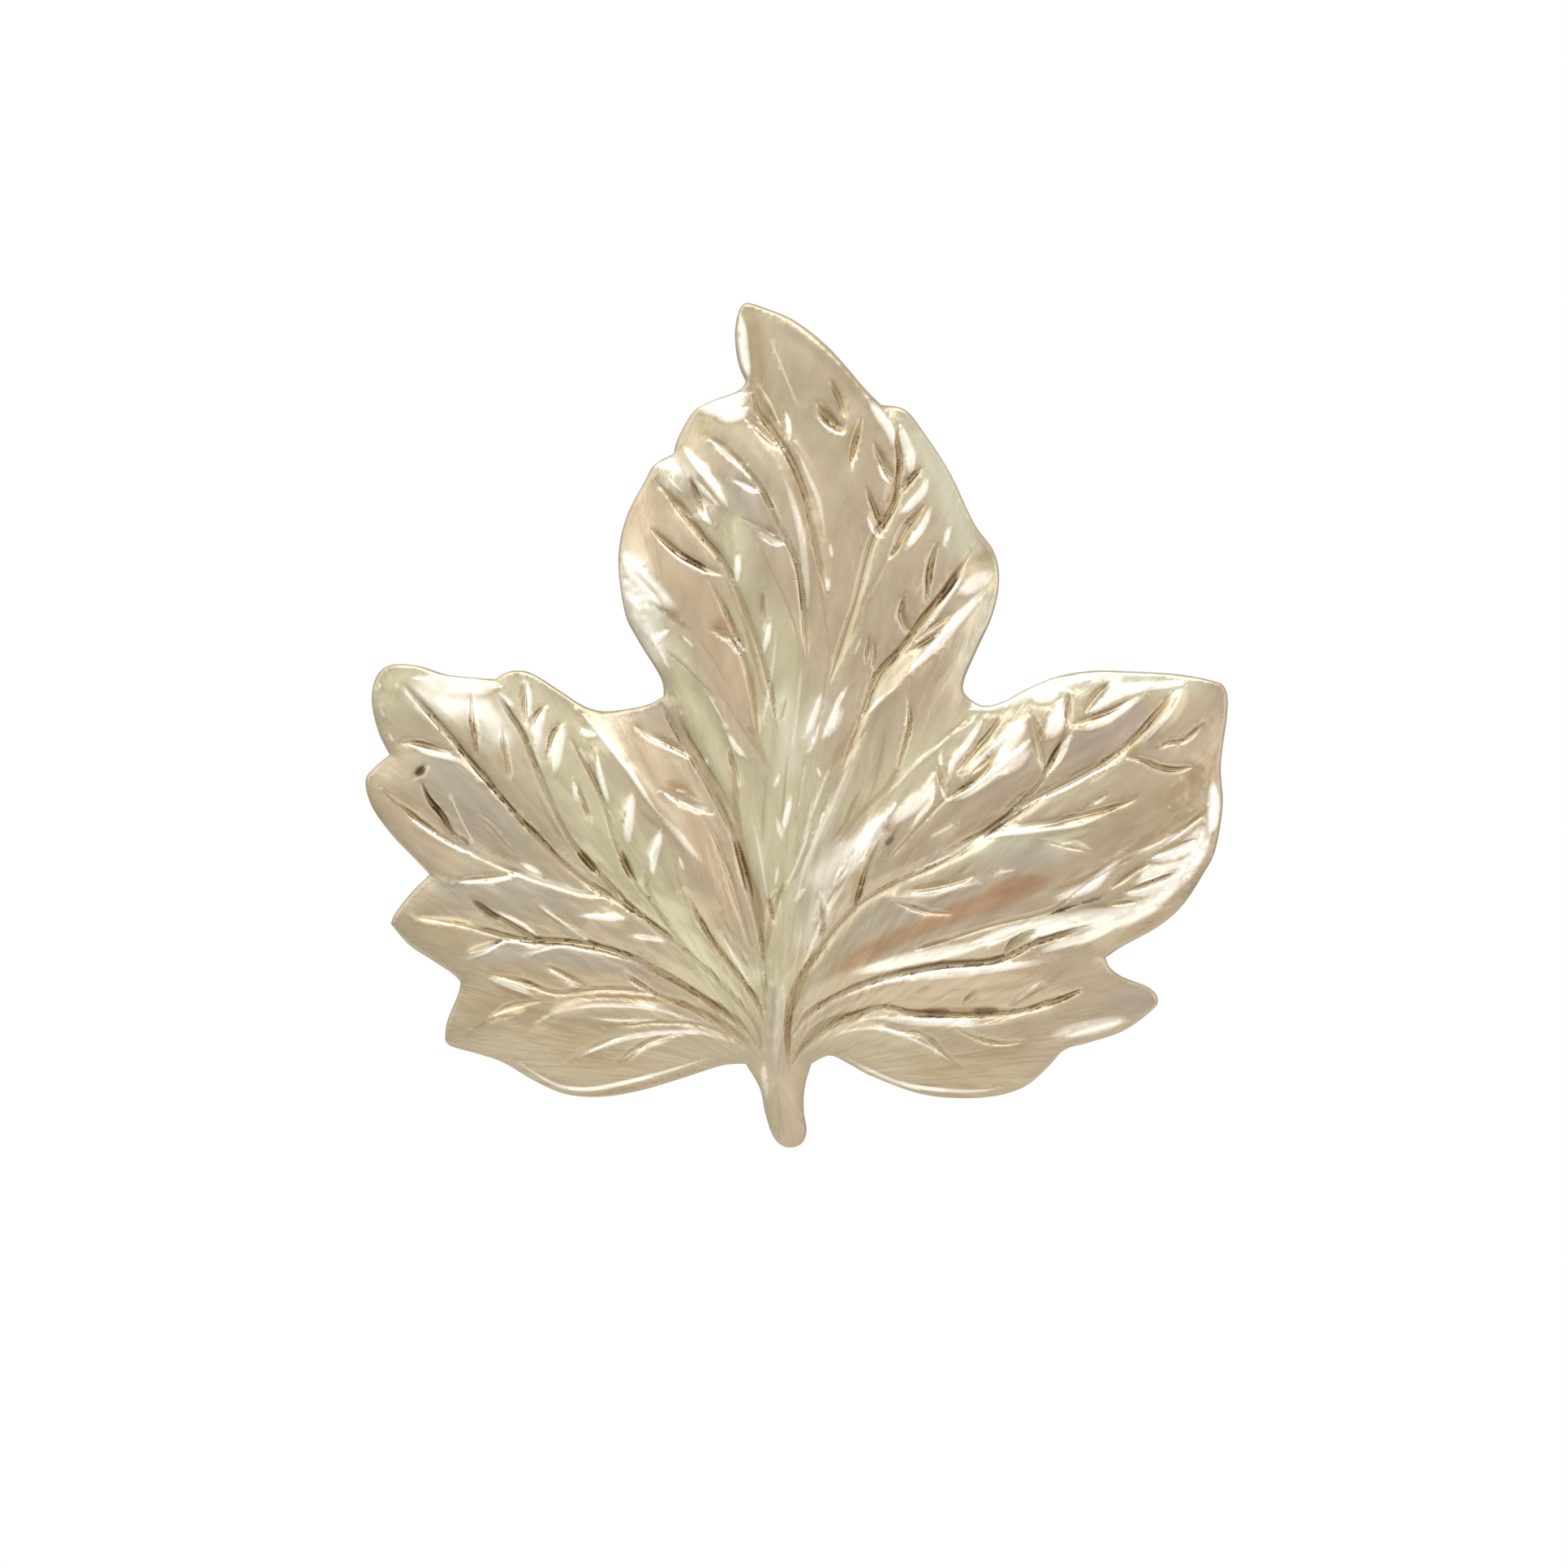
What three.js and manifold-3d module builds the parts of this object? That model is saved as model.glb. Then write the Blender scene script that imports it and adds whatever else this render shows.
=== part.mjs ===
// A silver leaf brooch: a five-lobed leaf, hollow at the back, with a hinged pin
// and a safety catch on two small plates soldered behind it.
//
// It is drawn lying in its own plane, as it would lie on a bench: x across the leaf,
// y up the leaf from the point where the veins meet the stem, and z towards the
// viewer. The last group turns it upright, as it is worn: +X to the right of someone
// facing the leaf, +Z up, the leaf's face towards -Y and its pin towards +Y, with
// the origin in the middle of the pin, where the cloth holds it. Millimetres.

import * as THREE from 'three';
import { mergeVertices } from 'three/addons/utils/BufferGeometryUtils.js';
import Module from 'manifold-3d';

const wasm = await Module();
wasm.setup();

// ---- driving dimensions ----------------------------------------------------------

const SHEET = 0.9;           // thickness of the silver
const DOME_HEIGHT = 2.2;     // how far the leaf swells out of its plane
const DOME_REACH = 9;        // how far in from the rim the swelling takes
const ROLL_DROP = 0.08;      // how far the rim is turned down
const ROLL_WIDTH = 0.35;
const BOW = 1.0;             // how far the lobes bend back, BOW_REACH from the middle
const BOW_REACH = 25;
const MIDDLE = { x: 1, y: 16 };
const RIM_STEP = 0.85;       // spacing of the points along the rim
const LATTICE_STEP = 1.3;    // spacing of the points inside it
const RIM_CLEAR = 0.72;      // a point inside keeps at least this far from the rim
const STEM_STEP = 0.7;       // spacing of the points down the middle of the stem
const STEM_TOP = 0;          // below this height the stem's own row of points takes over

const LAND_Z = -0.5;         // plane of the flat lands that the findings are soldered to
const LAND_MARGIN = 1.4;     // how far a land runs past its plate
const LAND_SHEET = 0.5;      // least metal over a land
const PLATE = { width: 6, height: 4.2, thickness: 0.5, corner: 1 };

const PIN_Y = 15.4;          // height of the pin above the vein junction
const HINGE_X = -14.5;
const CATCH_X = 15.5;
const POINT_X = 19.5;        // tip of the pin
const AXIS_DROP = 2.1;       // from the back of a plate to the pin's axis
const AXIS_Z = LAND_Z - PLATE.thickness - AXIS_DROP;
const GRIP_X = (HINGE_X + CATCH_X) / 2;

const WIRE_R = 0.45;         // the pin's wire
const TAPER = 7;             // length of its sharpened end
const TIP_R = 0.06;
const BARREL = { r: 0.95, length: 2.0 };
const EAR = { r: 1.1, thickness: 0.6, inside: 2.2 };
const FOOT = { width: 3.2, thickness: 0.5 };
const RIVET_R = 0.4;
const RIVET_HEAD = { r: 0.72, height: 0.35 };
const EAR_HOLE_R = 0.42;
const BARREL_HOLE_R = 0.45;

const HOUSING = { r: 1.75, bore: 1.25, ring: 0.9, gap: 2.0, slotHalf: 42 };   // slotHalf in degrees
const SADDLE = { width: 2.6, web: 1.7 };
const LOCK = { r: 1.2, bore: 0.62, slot: 1.12, collarR: 1.68, collar: 1.8, length: 4.2 };
const LEVER = { angle: -58, reach: 3.3, thickness: 0.7, width: 1.5 };         // angle in degrees

// The rim of the leaf, clockwise from its tip, as smooth stretches that meet at the
// corners of the teeth and notches.
const RIM = {
  tipRight: [[-1.79, 42.97], [-1, 42.75], [1, 41.9], [3, 40.3], [5, 38], [6, 37]],
  crownRight: [
    [6, 37], [7.4, 36.7], [8.6, 35.2], [10, 33], [11.35, 30.15], [12.5, 28.5], [12.8, 26.8],
    [12.4, 24.8], [11.5, 22.8], [10.75, 21], [10.87, 20.2], [11.85, 19.6], [13, 19.85],
    [14.2, 20.5], [16, 21.25], [18, 21.6], [20, 21.6], [23, 21.44], [25.2, 21.05],
    [25.9, 20.65], [26.07, 19.4], [25.67, 16.2], [25.78, 13.9], [25.36, 11.3],
    [24.64, 9.85], [23.4, 8], [22, 6.8], [20, 5.7], [18.96, 5.03],
  ],
  lowRight: [
    [18.96, 5.03], [19.24, 4.45], [20, 3.9], [21.5, 3.3], [22.03, 2.6], [21.64, 1.92],
    [20, 0.77], [18, 0.1], [16.6, -0.32], [15.6, -1.35], [14.3, -2.44], [12.5, -3],
    [10.2, -3.1], [8, -2.78], [5.4, -1.8], [4.08, -1.08], [3, -0.62], [1.95, -1.1],
  ],
  stem: [
    [1.95, -1.1], [1.58, -2.43], [1.52, -3.8], [1.68, -5.05], [1.3, -5.8], [0.46, -5.93],
    [-0.23, -5.36], [-0.7, -4.05], [-1.04, -2.5], [-1.85, -1.1],
  ],
  lowLeft: [
    [-1.85, -1.1], [-3.2, -1.2], [-5.4, -1.9], [-7.7, -2.6], [-10, -3.02], [-12.2, -2.9],
    [-14.1, -2.1], [-15.8, -1.1], [-17.2, -0.6], [-18.9, -0.13], [-19.27, 0.27],
  ],
  toothUnder: [[-19.27, 0.27], [-19.15, 1.3], [-18.5, 2.9], [-18.35, 3.6]],
  toothLeft: [[-18.35, 3.6], [-18.77, 4.05], [-20, 4.87], [-21.33, 5.74], [-22.4, 6.97]],
  toothOver: [[-22.4, 6.97], [-22.15, 7.58], [-21.23, 8.76], [-20.13, 9.84]],
  sideLeft: [
    [-20.13, 9.84], [-21, 10.74], [-22.35, 12.15], [-23.5, 13.77], [-23.87, 15.27],
    [-23.27, 16.1], [-22.46, 16.77],
  ],
  cornerLeft: [
    [-22.46, 16.77], [-23.1, 18.04], [-23.5, 19.77], [-23.3, 21.15], [-22.5, 21.96],
    [-20.96, 21.96], [-19, 21.4], [-16.3, 21.15],
  ],
  notchLeft: [
    [-16.3, 21.15], [-15.5, 21.6], [-14.27, 21.5], [-12.4, 20.35], [-11.5, 19.76],
    [-10.7, 19.4], [-9.7, 19.3], [-7.73, 19.6], [-6.58, 20.13],
  ],
  crownLeft: [
    [-6.58, 20.13], [-6.75, 21.2], [-8.08, 23.4], [-8.83, 25], [-9.2, 28], [-8.77, 30.4],
    [-7.67, 32.6], [-7.1, 33.56], [-6, 34.2],
  ],
  shoulderLeft: [[-6, 34.2], [-5.77, 35.06], [-4.9, 36.6], [-3.9, 37.2], [-2.3, 37.83], [-1.85, 38.35]],
  tipLeft: [[-1.85, 38.35], [-2.3, 39.5], [-2.48, 41.23], [-2.19, 42.67], [-1.79, 42.97]],
};

// The broad folds that the leaf is pressed into: a line, its half width, and how far it
// rises (a ridge or a rib) or sinks (a valley).
const FOLDS = [
  { line: [[0, 5], [0.2, 10], [1, 16], [2, 22], [2.4, 28], [1.2, 34], [-0.9, 38.5]], half: 1.9, rise: -0.5 },
  { line: [[-0.8, 17], [-1.9, 25], [-4.4, 29.4], [-6.6, 32.4]], half: 1.2, rise: -0.3 },
  { line: [[3, 20], [4.5, 25.5], [6.3, 30.2], [7, 35]], half: 1.2, rise: -0.3 },
  { line: [[4, 16], [5.6, 21.2], [8.6, 24.9], [11, 28.2]], half: 1.0, rise: -0.35 },
  { line: [[5, 16.5], [6.7, 19], [8.7, 21.4], [10.6, 23.2], [12.3, 25.4]], half: 1.1, rise: 0.4 },
  { line: [[-8.4, 30.4], [-7, 27.3], [-5.9, 25.3], [-5, 22.4], [-4.2, 20]], half: 1.2, rise: 0.5 },
  { line: [[-5, 35], [-3.7, 33], [-2.6, 31]], half: 0.9, rise: 0.3 },
  { line: [[-0.6, 40.5], [2, 39.6], [4.4, 37], [6.4, 33.6]], half: 1.0, rise: 0.3 },
  { line: [[-1, 2], [-2.5, 12], [-4.6, 16.1], [-6.6, 19.4]], half: 1.1, rise: -0.3 },
  { line: [[-11, 19], [-8.2, 15.5], [-5.5, 12], [-3, 7]], half: 1.2, rise: 0.5 },
  { line: [[-21.4, 20.7], [-17.8, 16.4], [-12.5, 10.6], [-6.5, 6.3], [-1.4, 1.2]], half: 1.4, rise: -0.45 },
  { line: [[-19.5, 19.8], [-16.6, 17.3], [-14.2, 13.4], [-11, 10.4]], half: 1.3, rise: 0.35 },
  { line: [[-16, 20], [-14.1, 16.8], [-12.2, 12.3], [-8.3, 7.8]], half: 1.0, rise: -0.3 },
  { line: [[-22.6, 14.5], [-18.1, 11.3], [-14.1, 9.7], [-10, 8.6]], half: 1.2, rise: -0.35 },
  { line: [[-20.8, 7.4], [-15.2, 6.1], [-9.5, 5.4], [-4.8, 3.3], [-1.6, 0.8]], half: 1.3, rise: -0.4 },
  { line: [[-16.5, 4.2], [-12.7, 3.1], [-7, 2.9], [-2.2, 0.6]], half: 1.0, rise: -0.3 },
  { line: [[1.5, 1.4], [5.2, 3.6], [11, 4.8], [18.3, 7]], half: 1.0, rise: -0.4 },
  { line: [[4, 3.9], [10.2, 5.5], [15.5, 7.1], [21.5, 8.3], [24.2, 12]], half: 1.2, rise: 0.55 },
  { line: [[1.5, 0.1], [6, 2.2], [12.6, 1.8], [17.5, 3.2]], half: 1.1, rise: -0.35 },
  { line: [[1.2, 3.6], [4.2, 7.5], [10, 10.9], [14.5, 14], [22, 19]], half: 1.1, rise: -0.3 },
  { line: [[5, 10.6], [8.4, 13.5], [12.2, 16.2], [16.6, 18.4], [21, 20]], half: 1.6, rise: 0.5 },
  { line: [[0.1, 9], [-0.2, 4], [-0.15, 0], [0.2, -3], [0.7, -8]], half: 0.85, rise: 0.7 },
];
const STEM_LINE = [[-0.15, 0], [0, -1.5], [0.2, -3], [0.5, -5.3]];
const FOLD_END = 2.5;        // a fold fades out over this length at its ends

const SILVER = { color: 0xc9bb9c, metalness: 1, roughness: 0.22 };
const SOLDERED_SILVER = { color: 0xc2b595, metalness: 1, roughness: 0.35 };
const PIN_WIRE = { color: 0xbdb6a6, metalness: 1, roughness: 0.25 };

// ---- solids ----------------------------------------------------------------------

// A closed geometry as a solid that can be joined and cut.
function solid(geometry) {
  const bare = geometry.clone();
  bare.deleteAttribute('normal');
  bare.deleteAttribute('uv');
  const merged = mergeVertices(bare, 1e-5);
  return new wasm.Manifold(new wasm.Mesh({
    numProp: 3,
    vertProperties: new Float32Array(merged.attributes.position.array),
    triVerts: new Uint32Array(merged.index.array),
  }));
}

function geometryOf(manifold) {
  const mesh = manifold.getMesh();
  const geometry = new THREE.BufferGeometry();
  geometry.setAttribute('position', new THREE.BufferAttribute(new Float32Array(mesh.vertProperties), 3));
  geometry.setIndex(new THREE.BufferAttribute(new Uint32Array(mesh.triVerts), 1));
  geometry.computeVertexNormals();
  return geometry;
}

function join(...geometries) {
  return geometries.map(solid).reduce((whole, piece) => whole.add(piece));
}

function box(width, height, depth, x, y, z) {
  return new THREE.BoxGeometry(width, height, depth).translate(x, y, z);
}

// A round bar about an axis, centred on a point.
function bar(axis, radius, length, x, y, z, sides = 32) {
  const geometry = new THREE.CylinderGeometry(radius, radius, length, sides);
  if (axis === 'x') geometry.rotateZ(Math.PI / 2);
  if (axis === 'z') geometry.rotateX(Math.PI / 2);
  return geometry.translate(x, y, z);
}

function roundedPlate(width, height, corner) {
  const shape = new THREE.Shape();
  const x = width / 2 - corner;
  const y = height / 2 - corner;
  shape.absarc(x, y, corner, 0, Math.PI / 2);
  shape.absarc(-x, y, corner, Math.PI / 2, Math.PI);
  shape.absarc(-x, -y, corner, Math.PI, Math.PI * 1.5);
  shape.absarc(x, -y, corner, Math.PI * 1.5, Math.PI * 2);
  return shape;
}

// ---- the leaf --------------------------------------------------------------------

function rimPoints() {
  const points = [];
  for (const stretch of Object.values(RIM)) {
    const curve = new THREE.SplineCurve(stretch.map(([x, y]) => new THREE.Vector2(x, y)));
    const steps = Math.max(2, Math.round(curve.getLength() / RIM_STEP));
    points.push(...curve.getSpacedPoints(steps).slice(0, -1));
  }
  return points;
}

function distanceToSegment(px, py, ax, ay, bx, by) {
  const dx = bx - ax;
  const dy = by - ay;
  const along = Math.min(1, Math.max(0, ((px - ax) * dx + (py - ay) * dy) / (dx * dx + dy * dy)));
  return Math.hypot(px - ax - along * dx, py - ay - along * dy);
}

function distanceToRim(x, y, rim) {
  let nearest = Infinity;
  rim.forEach((a, i) => {
    const b = rim[(i + 1) % rim.length];
    nearest = Math.min(nearest, distanceToSegment(x, y, a.x, a.y, b.x, b.y));
  });
  return nearest;
}

function insideRim(x, y, rim) {
  let inside = false;
  rim.forEach((a, i) => {
    const b = rim[(i + 1) % rim.length];
    const spans = (a.y > y) !== (b.y > y);
    if (spans && x < a.x + ((y - a.y) / (b.y - a.y)) * (b.x - a.x)) inside = !inside;
  });
  return inside;
}

// Each fold's line as a smooth row of points.
const foldLines = FOLDS.map((fold) => {
  const curve = new THREE.SplineCurve(fold.line.map(([x, y]) => new THREE.Vector2(x, y)));
  return { ...fold, points: curve.getSpacedPoints(24) };
});

// Height of one fold at a point: a rounded ridge or valley that fades towards its ends.
function foldHeight(x, y, { points, half, rise }) {
  let nearest = Infinity;
  for (let i = 0; i + 1 < points.length; i++) {
    const [a, b] = [points[i], points[i + 1]];
    nearest = Math.min(nearest, distanceToSegment(x, y, a.x, a.y, b.x, b.y));
  }
  const first = points[0];
  const last = points[points.length - 1];
  const toEnd = Math.min(Math.hypot(x - first.x, y - first.y), Math.hypot(x - last.x, y - last.y));
  const fade = THREE.MathUtils.smoothstep(toEnd, 0, FOLD_END);
  return rise * fade * Math.exp(-((nearest / half) ** 2));
}

// Height of the leaf's face: swollen in the middle, turned down at the rim, folded, and
// with its lobes bent back.
function faceHeight(x, y, toRim) {
  const dome = DOME_HEIGHT * (1 - Math.exp(-toRim / DOME_REACH));
  const roll = ROLL_DROP * (1 - Math.exp(-toRim / ROLL_WIDTH));
  const settle = 1 - Math.exp(-toRim / ROLL_WIDTH / 2);
  const folds = foldLines.reduce((sum, fold) => sum + foldHeight(x, y, fold), 0);
  const bow = BOW * ((x - MIDDLE.x) ** 2 + (y - MIDDLE.y) ** 2) / BOW_REACH ** 2;
  return dome + roll + settle * folds - bow;
}

// The back follows the face one sheet's thickness behind it, except on the two lands.
function backHeight(x, y, face) {
  const onLand = [HINGE_X, CATCH_X].some((plateX) =>
    Math.abs(x - plateX) < PLATE.width / 2 + LAND_MARGIN
    && Math.abs(y - PIN_Y) < PLATE.height / 2 + LAND_MARGIN);
  return onLand ? Math.min(LAND_Z, face - LAND_SHEET) : face - SHEET;
}

// Triangles between scattered points, none with another point inside its circle.
function triangulate(points) {
  const far = 1000;
  const all = [...points, { x: -far, y: -far }, { x: far, y: -far }, { x: 0, y: far }];
  const circle = (a, b, c) => {
    const [p, q, r] = [all[a], all[b], all[c]];
    const d = 2 * (p.x * (q.y - r.y) + q.x * (r.y - p.y) + r.x * (p.y - q.y));
    const [p2, q2, r2] = [p, q, r].map((v) => v.x * v.x + v.y * v.y);
    const x = (p2 * (q.y - r.y) + q2 * (r.y - p.y) + r2 * (p.y - q.y)) / d;
    const y = (p2 * (r.x - q.x) + q2 * (p.x - r.x) + r2 * (q.x - p.x)) / d;
    return { corners: [a, b, c], x, y, r2: (p.x - x) ** 2 + (p.y - y) ** 2 };
  };
  const n = points.length;
  let triangles = [circle(n, n + 1, n + 2)];
  points.forEach((point, index) => {
    const edges = new Map();
    triangles = triangles.filter((t) => {
      if ((point.x - t.x) ** 2 + (point.y - t.y) ** 2 > t.r2) return true;
      const [a, b, c] = t.corners;
      for (const [from, to] of [[a, b], [b, c], [c, a]]) {
        if (!edges.delete(`${to},${from}`)) edges.set(`${from},${to}`, [from, to]);
      }
      return false;
    });
    for (const [from, to] of edges.values()) triangles.push(circle(from, to, index));
  });
  return triangles.map((t) => t.corners).filter((corners) => corners.every((i) => i < n));
}

function leafGeometry() {
  const rim = rimPoints();
  const plan = rim.map((p) => ({ x: p.x, y: p.y, toRim: 0 }));
  const rowStep = LATTICE_STEP * Math.sqrt(3) / 2;
  for (let row = 0; row * rowStep < 50; row++) {
    for (let column = 0; column * LATTICE_STEP < 52; column++) {
      const x = -25 + column * LATTICE_STEP + (row % 2) * LATTICE_STEP / 2;
      const y = STEM_TOP + (row - 3) * rowStep;
      const inStem = y < STEM_TOP && Math.abs(x) < 2.5;
      if (inStem || !insideRim(x, y, rim)) continue;
      const toRim = distanceToRim(x, y, rim);
      if (toRim > RIM_CLEAR) plan.push({ x, y, toRim });
    }
  }
  const stem = new THREE.SplineCurve(STEM_LINE.map(([x, y]) => new THREE.Vector2(x, y)));
  for (const { x, y } of stem.getSpacedPoints(Math.round(stem.getLength() / STEM_STEP)).slice(1)) {
    plan.push({ x, y, toRim: distanceToRim(x, y, rim) });
  }
  const triangles = triangulate(plan).filter((corners) => {
    const x = corners.reduce((sum, i) => sum + plan[i].x, 0) / 3;
    const y = corners.reduce((sum, i) => sum + plan[i].y, 0) / 3;
    return insideRim(x, y, rim);
  });
  const face = plan.map((p) => faceHeight(p.x, p.y, p.toRim));
  const positions = [];
  plan.forEach((p, i) => positions.push(p.x, p.y, face[i]));
  plan.forEach((p, i) => positions.push(p.x, p.y, backHeight(p.x, p.y, face[i])));
  const back = plan.length;
  const index = [];
  for (const [a, b, c] of triangles) index.push(a, b, c, back + a, back + c, back + b);
  rim.forEach((_, i) => {
    const next = (i + 1) % rim.length;
    index.push(i, next, back + next, i, back + next, back + i);
  });
  const geometry = new THREE.BufferGeometry();
  geometry.setAttribute('position', new THREE.Float32BufferAttribute(positions, 3));
  geometry.setIndex(index);
  geometry.computeVertexNormals();
  return geometry;
}

// ---- the findings ----------------------------------------------------------------

function plateGeometry() {
  const shape = roundedPlate(PLATE.width, PLATE.height, PLATE.corner);
  return new THREE.ExtrudeGeometry(shape, { depth: PLATE.thickness, bevelEnabled: false, curveSegments: 6 })
    .translate(0, 0, LAND_Z - PLATE.thickness);
}

// Two ears on a foot, drilled for the rivet, with the pin's axis at z = AXIS_Z.
function knuckleGeometry() {
  const footBack = LAND_Z - PLATE.thickness;
  const earCentre = (EAR.inside + EAR.thickness) / 2;
  const span = EAR.inside + 2 * EAR.thickness;
  const neck = footBack - AXIS_Z;
  const ears = [-1, 1].flatMap((side) => [
    bar('y', EAR.r, EAR.thickness, 0, side * earCentre, AXIS_Z),
    box(2 * EAR.r, EAR.thickness, neck, 0, side * earCentre, footBack - neck / 2),
  ]);
  const foot = box(FOOT.width, span, FOOT.thickness, 0, 0, footBack - FOOT.thickness / 2);
  const hole = bar('y', EAR_HOLE_R, span * 2, 0, 0, AXIS_Z, 24);
  return geometryOf(join(foot, ...ears).subtract(solid(hole)));
}

function rivetGeometry() {
  const span = EAR.inside + 2 * EAR.thickness;
  const end = span / 2 + 0.02;
  const profile = [
    [0, -end - RIVET_HEAD.height],
    [RIVET_HEAD.r * 0.7, -end - RIVET_HEAD.height * 0.75],
    [RIVET_HEAD.r, -end],
    [RIVET_R, -end],
    [RIVET_R, end],
    [RIVET_HEAD.r, end],
    [RIVET_HEAD.r * 0.7, end + RIVET_HEAD.height * 0.75],
    [0, end + RIVET_HEAD.height],
  ].map(([r, y]) => new THREE.Vector2(r, y));
  return new THREE.LatheGeometry(profile, 24).translate(0, 0, AXIS_Z);
}

// A drilled barrel with a wire that runs out of it to a sharp point. x starts at the hinge.
function pinGeometry() {
  const reach = POINT_X - HINGE_X;
  const start = BARREL.r * 0.7;
  const profile = [
    [0, start], [WIRE_R, start], [WIRE_R, reach - TAPER], [WIRE_R * 0.8, reach - TAPER * 0.5],
    [WIRE_R * 0.45, reach - TAPER * 0.12], [TIP_R, reach], [0, reach],
  ].map(([r, along]) => new THREE.Vector2(r, along));
  const wire = new THREE.LatheGeometry(profile, 24).rotateZ(-Math.PI / 2).translate(0, 0, AXIS_Z);
  const barrel = bar('y', BARREL.r, BARREL.length, 0, 0, AXIS_Z);
  const hole = bar('y', BARREL_HOLE_R, BARREL.length * 2, 0, 0, AXIS_Z, 24);
  return geometryOf(join(barrel, wire).subtract(solid(hole)));
}

// A C-shaped ring about the pin's axis, open towards the back of the brooch.
function openRing(outer, bore, slotHalf, length, x) {
  const shape = new THREE.Shape();
  const start = THREE.MathUtils.degToRad(slotHalf);
  const end = 2 * Math.PI - start;
  shape.absarc(0, 0, outer, start, end, false);
  shape.absarc(0, 0, bore, end, start, true);
  const ring = new THREE.ExtrudeGeometry(shape, { depth: length, bevelEnabled: false, curveSegments: 40 });
  // The shape's own +x is the open side: turn it to -z, and its length to x.
  return ring.translate(0, 0, -length / 2).rotateY(Math.PI / 2).translate(x, 0, AXIS_Z);
}

// Two fixed rings on a saddle, with room between them for the lock's collar.
function housingGeometry() {
  const length = HOUSING.gap + 2 * HOUSING.ring;
  const plateBack = LAND_Z - PLATE.thickness;
  const saddleDepth = AXIS_DROP - HOUSING.r;
  const saddle = box(length, SADDLE.width, saddleDepth, 0, 0, plateBack - saddleDepth / 2);
  const webDepth = AXIS_DROP - (HOUSING.r + HOUSING.bore) / 2;
  const rings = [-1, 1].flatMap((side) => {
    const x = side * (HOUSING.gap + HOUSING.ring) / 2;
    return [
      openRing(HOUSING.r, HOUSING.bore, HOUSING.slotHalf, HOUSING.ring, x),
      box(HOUSING.ring, SADDLE.web, webDepth, x, 0, plateBack - webDepth / 2),
    ];
  });
  return geometryOf(join(saddle, ...rings));
}

// The turning tube of the catch, slotted to let the pin in, with its collar and lever.
function lockGeometry() {
  const tube = bar('x', LOCK.r, LOCK.length, 0, 0, AXIS_Z, 48);
  const collar = bar('x', LOCK.collarR, LOCK.collar, 0, 0, AXIS_Z, 48);
  const stalk = box(LEVER.width, LEVER.reach - LOCK.bore * 2, LEVER.thickness, 0, 0, 0)
    .translate(0, (LEVER.reach + LOCK.bore * 2) / 2, 0);
  const knob = bar('x', LEVER.thickness * 0.75, LEVER.width, 0, LEVER.reach, 0, 20);
  const turn = THREE.MathUtils.degToRad(-90 - LEVER.angle);
  const lever = join(stalk.rotateX(turn).translate(0, 0, AXIS_Z), knob.rotateX(turn).translate(0, 0, AXIS_Z));
  const bore = bar('x', LOCK.bore, LOCK.length * 2, 0, 0, AXIS_Z, 32);
  const slot = box(LOCK.length * 2, LOCK.slot, LOCK.collarR * 2, 0, 0, AXIS_Z - LOCK.collarR);
  return geometryOf(join(tube, collar).add(lever).subtract(join(bore, slot)));
}

// ---- the assembly ----------------------------------------------------------------

function piece(name, geometry, finish, x = 0, y = 0) {
  const mesh = new THREE.Mesh(geometry, new THREE.MeshStandardMaterial(finish));
  mesh.name = name;
  mesh.position.set(x, y, 0);
  return mesh;
}

const flat = new THREE.Group();
flat.add(
  piece('leaf', leafGeometry(), SILVER),
  piece('hinge_plate', plateGeometry(), SOLDERED_SILVER, HINGE_X, PIN_Y),
  piece('hinge_knuckle', knuckleGeometry(), SOLDERED_SILVER, HINGE_X, PIN_Y),
  piece('hinge_rivet', rivetGeometry(), PIN_WIRE, HINGE_X, PIN_Y),
  piece('pin_stem', pinGeometry(), PIN_WIRE, HINGE_X, PIN_Y),
  piece('catch_plate', plateGeometry(), SOLDERED_SILVER, CATCH_X, PIN_Y),
  piece('catch_housing', housingGeometry(), SOLDERED_SILVER, CATCH_X, PIN_Y),
  piece('catch_lock', lockGeometry(), SOLDERED_SILVER, CATCH_X, PIN_Y),
);

// Upright, with the middle of the pin at the origin.
flat.rotation.x = Math.PI / 2;
flat.position.set(-GRIP_X, AXIS_Z, -PIN_Y);

const brooch = new THREE.Group();
brooch.add(flat);

export default brooch;
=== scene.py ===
# %% [markdown]
# # A silver leaf brooch
#
# The object is a pressed silver leaf, about 50 mm across, worn on a coat. Its face is
# swollen and folded like a real leaf, a graver has cut the veins into it, and a hinged pin
# with a safety catch is soldered behind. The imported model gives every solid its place. This
# script makes the surface a person sees: a fine skin for the leaf, turned and bent findings,
# the solder that holds them, and the finishes.

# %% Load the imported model
import math

import bpy
import numpy as np
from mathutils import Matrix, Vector
from mathutils.geometry import delaunay_2d_cdt


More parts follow.
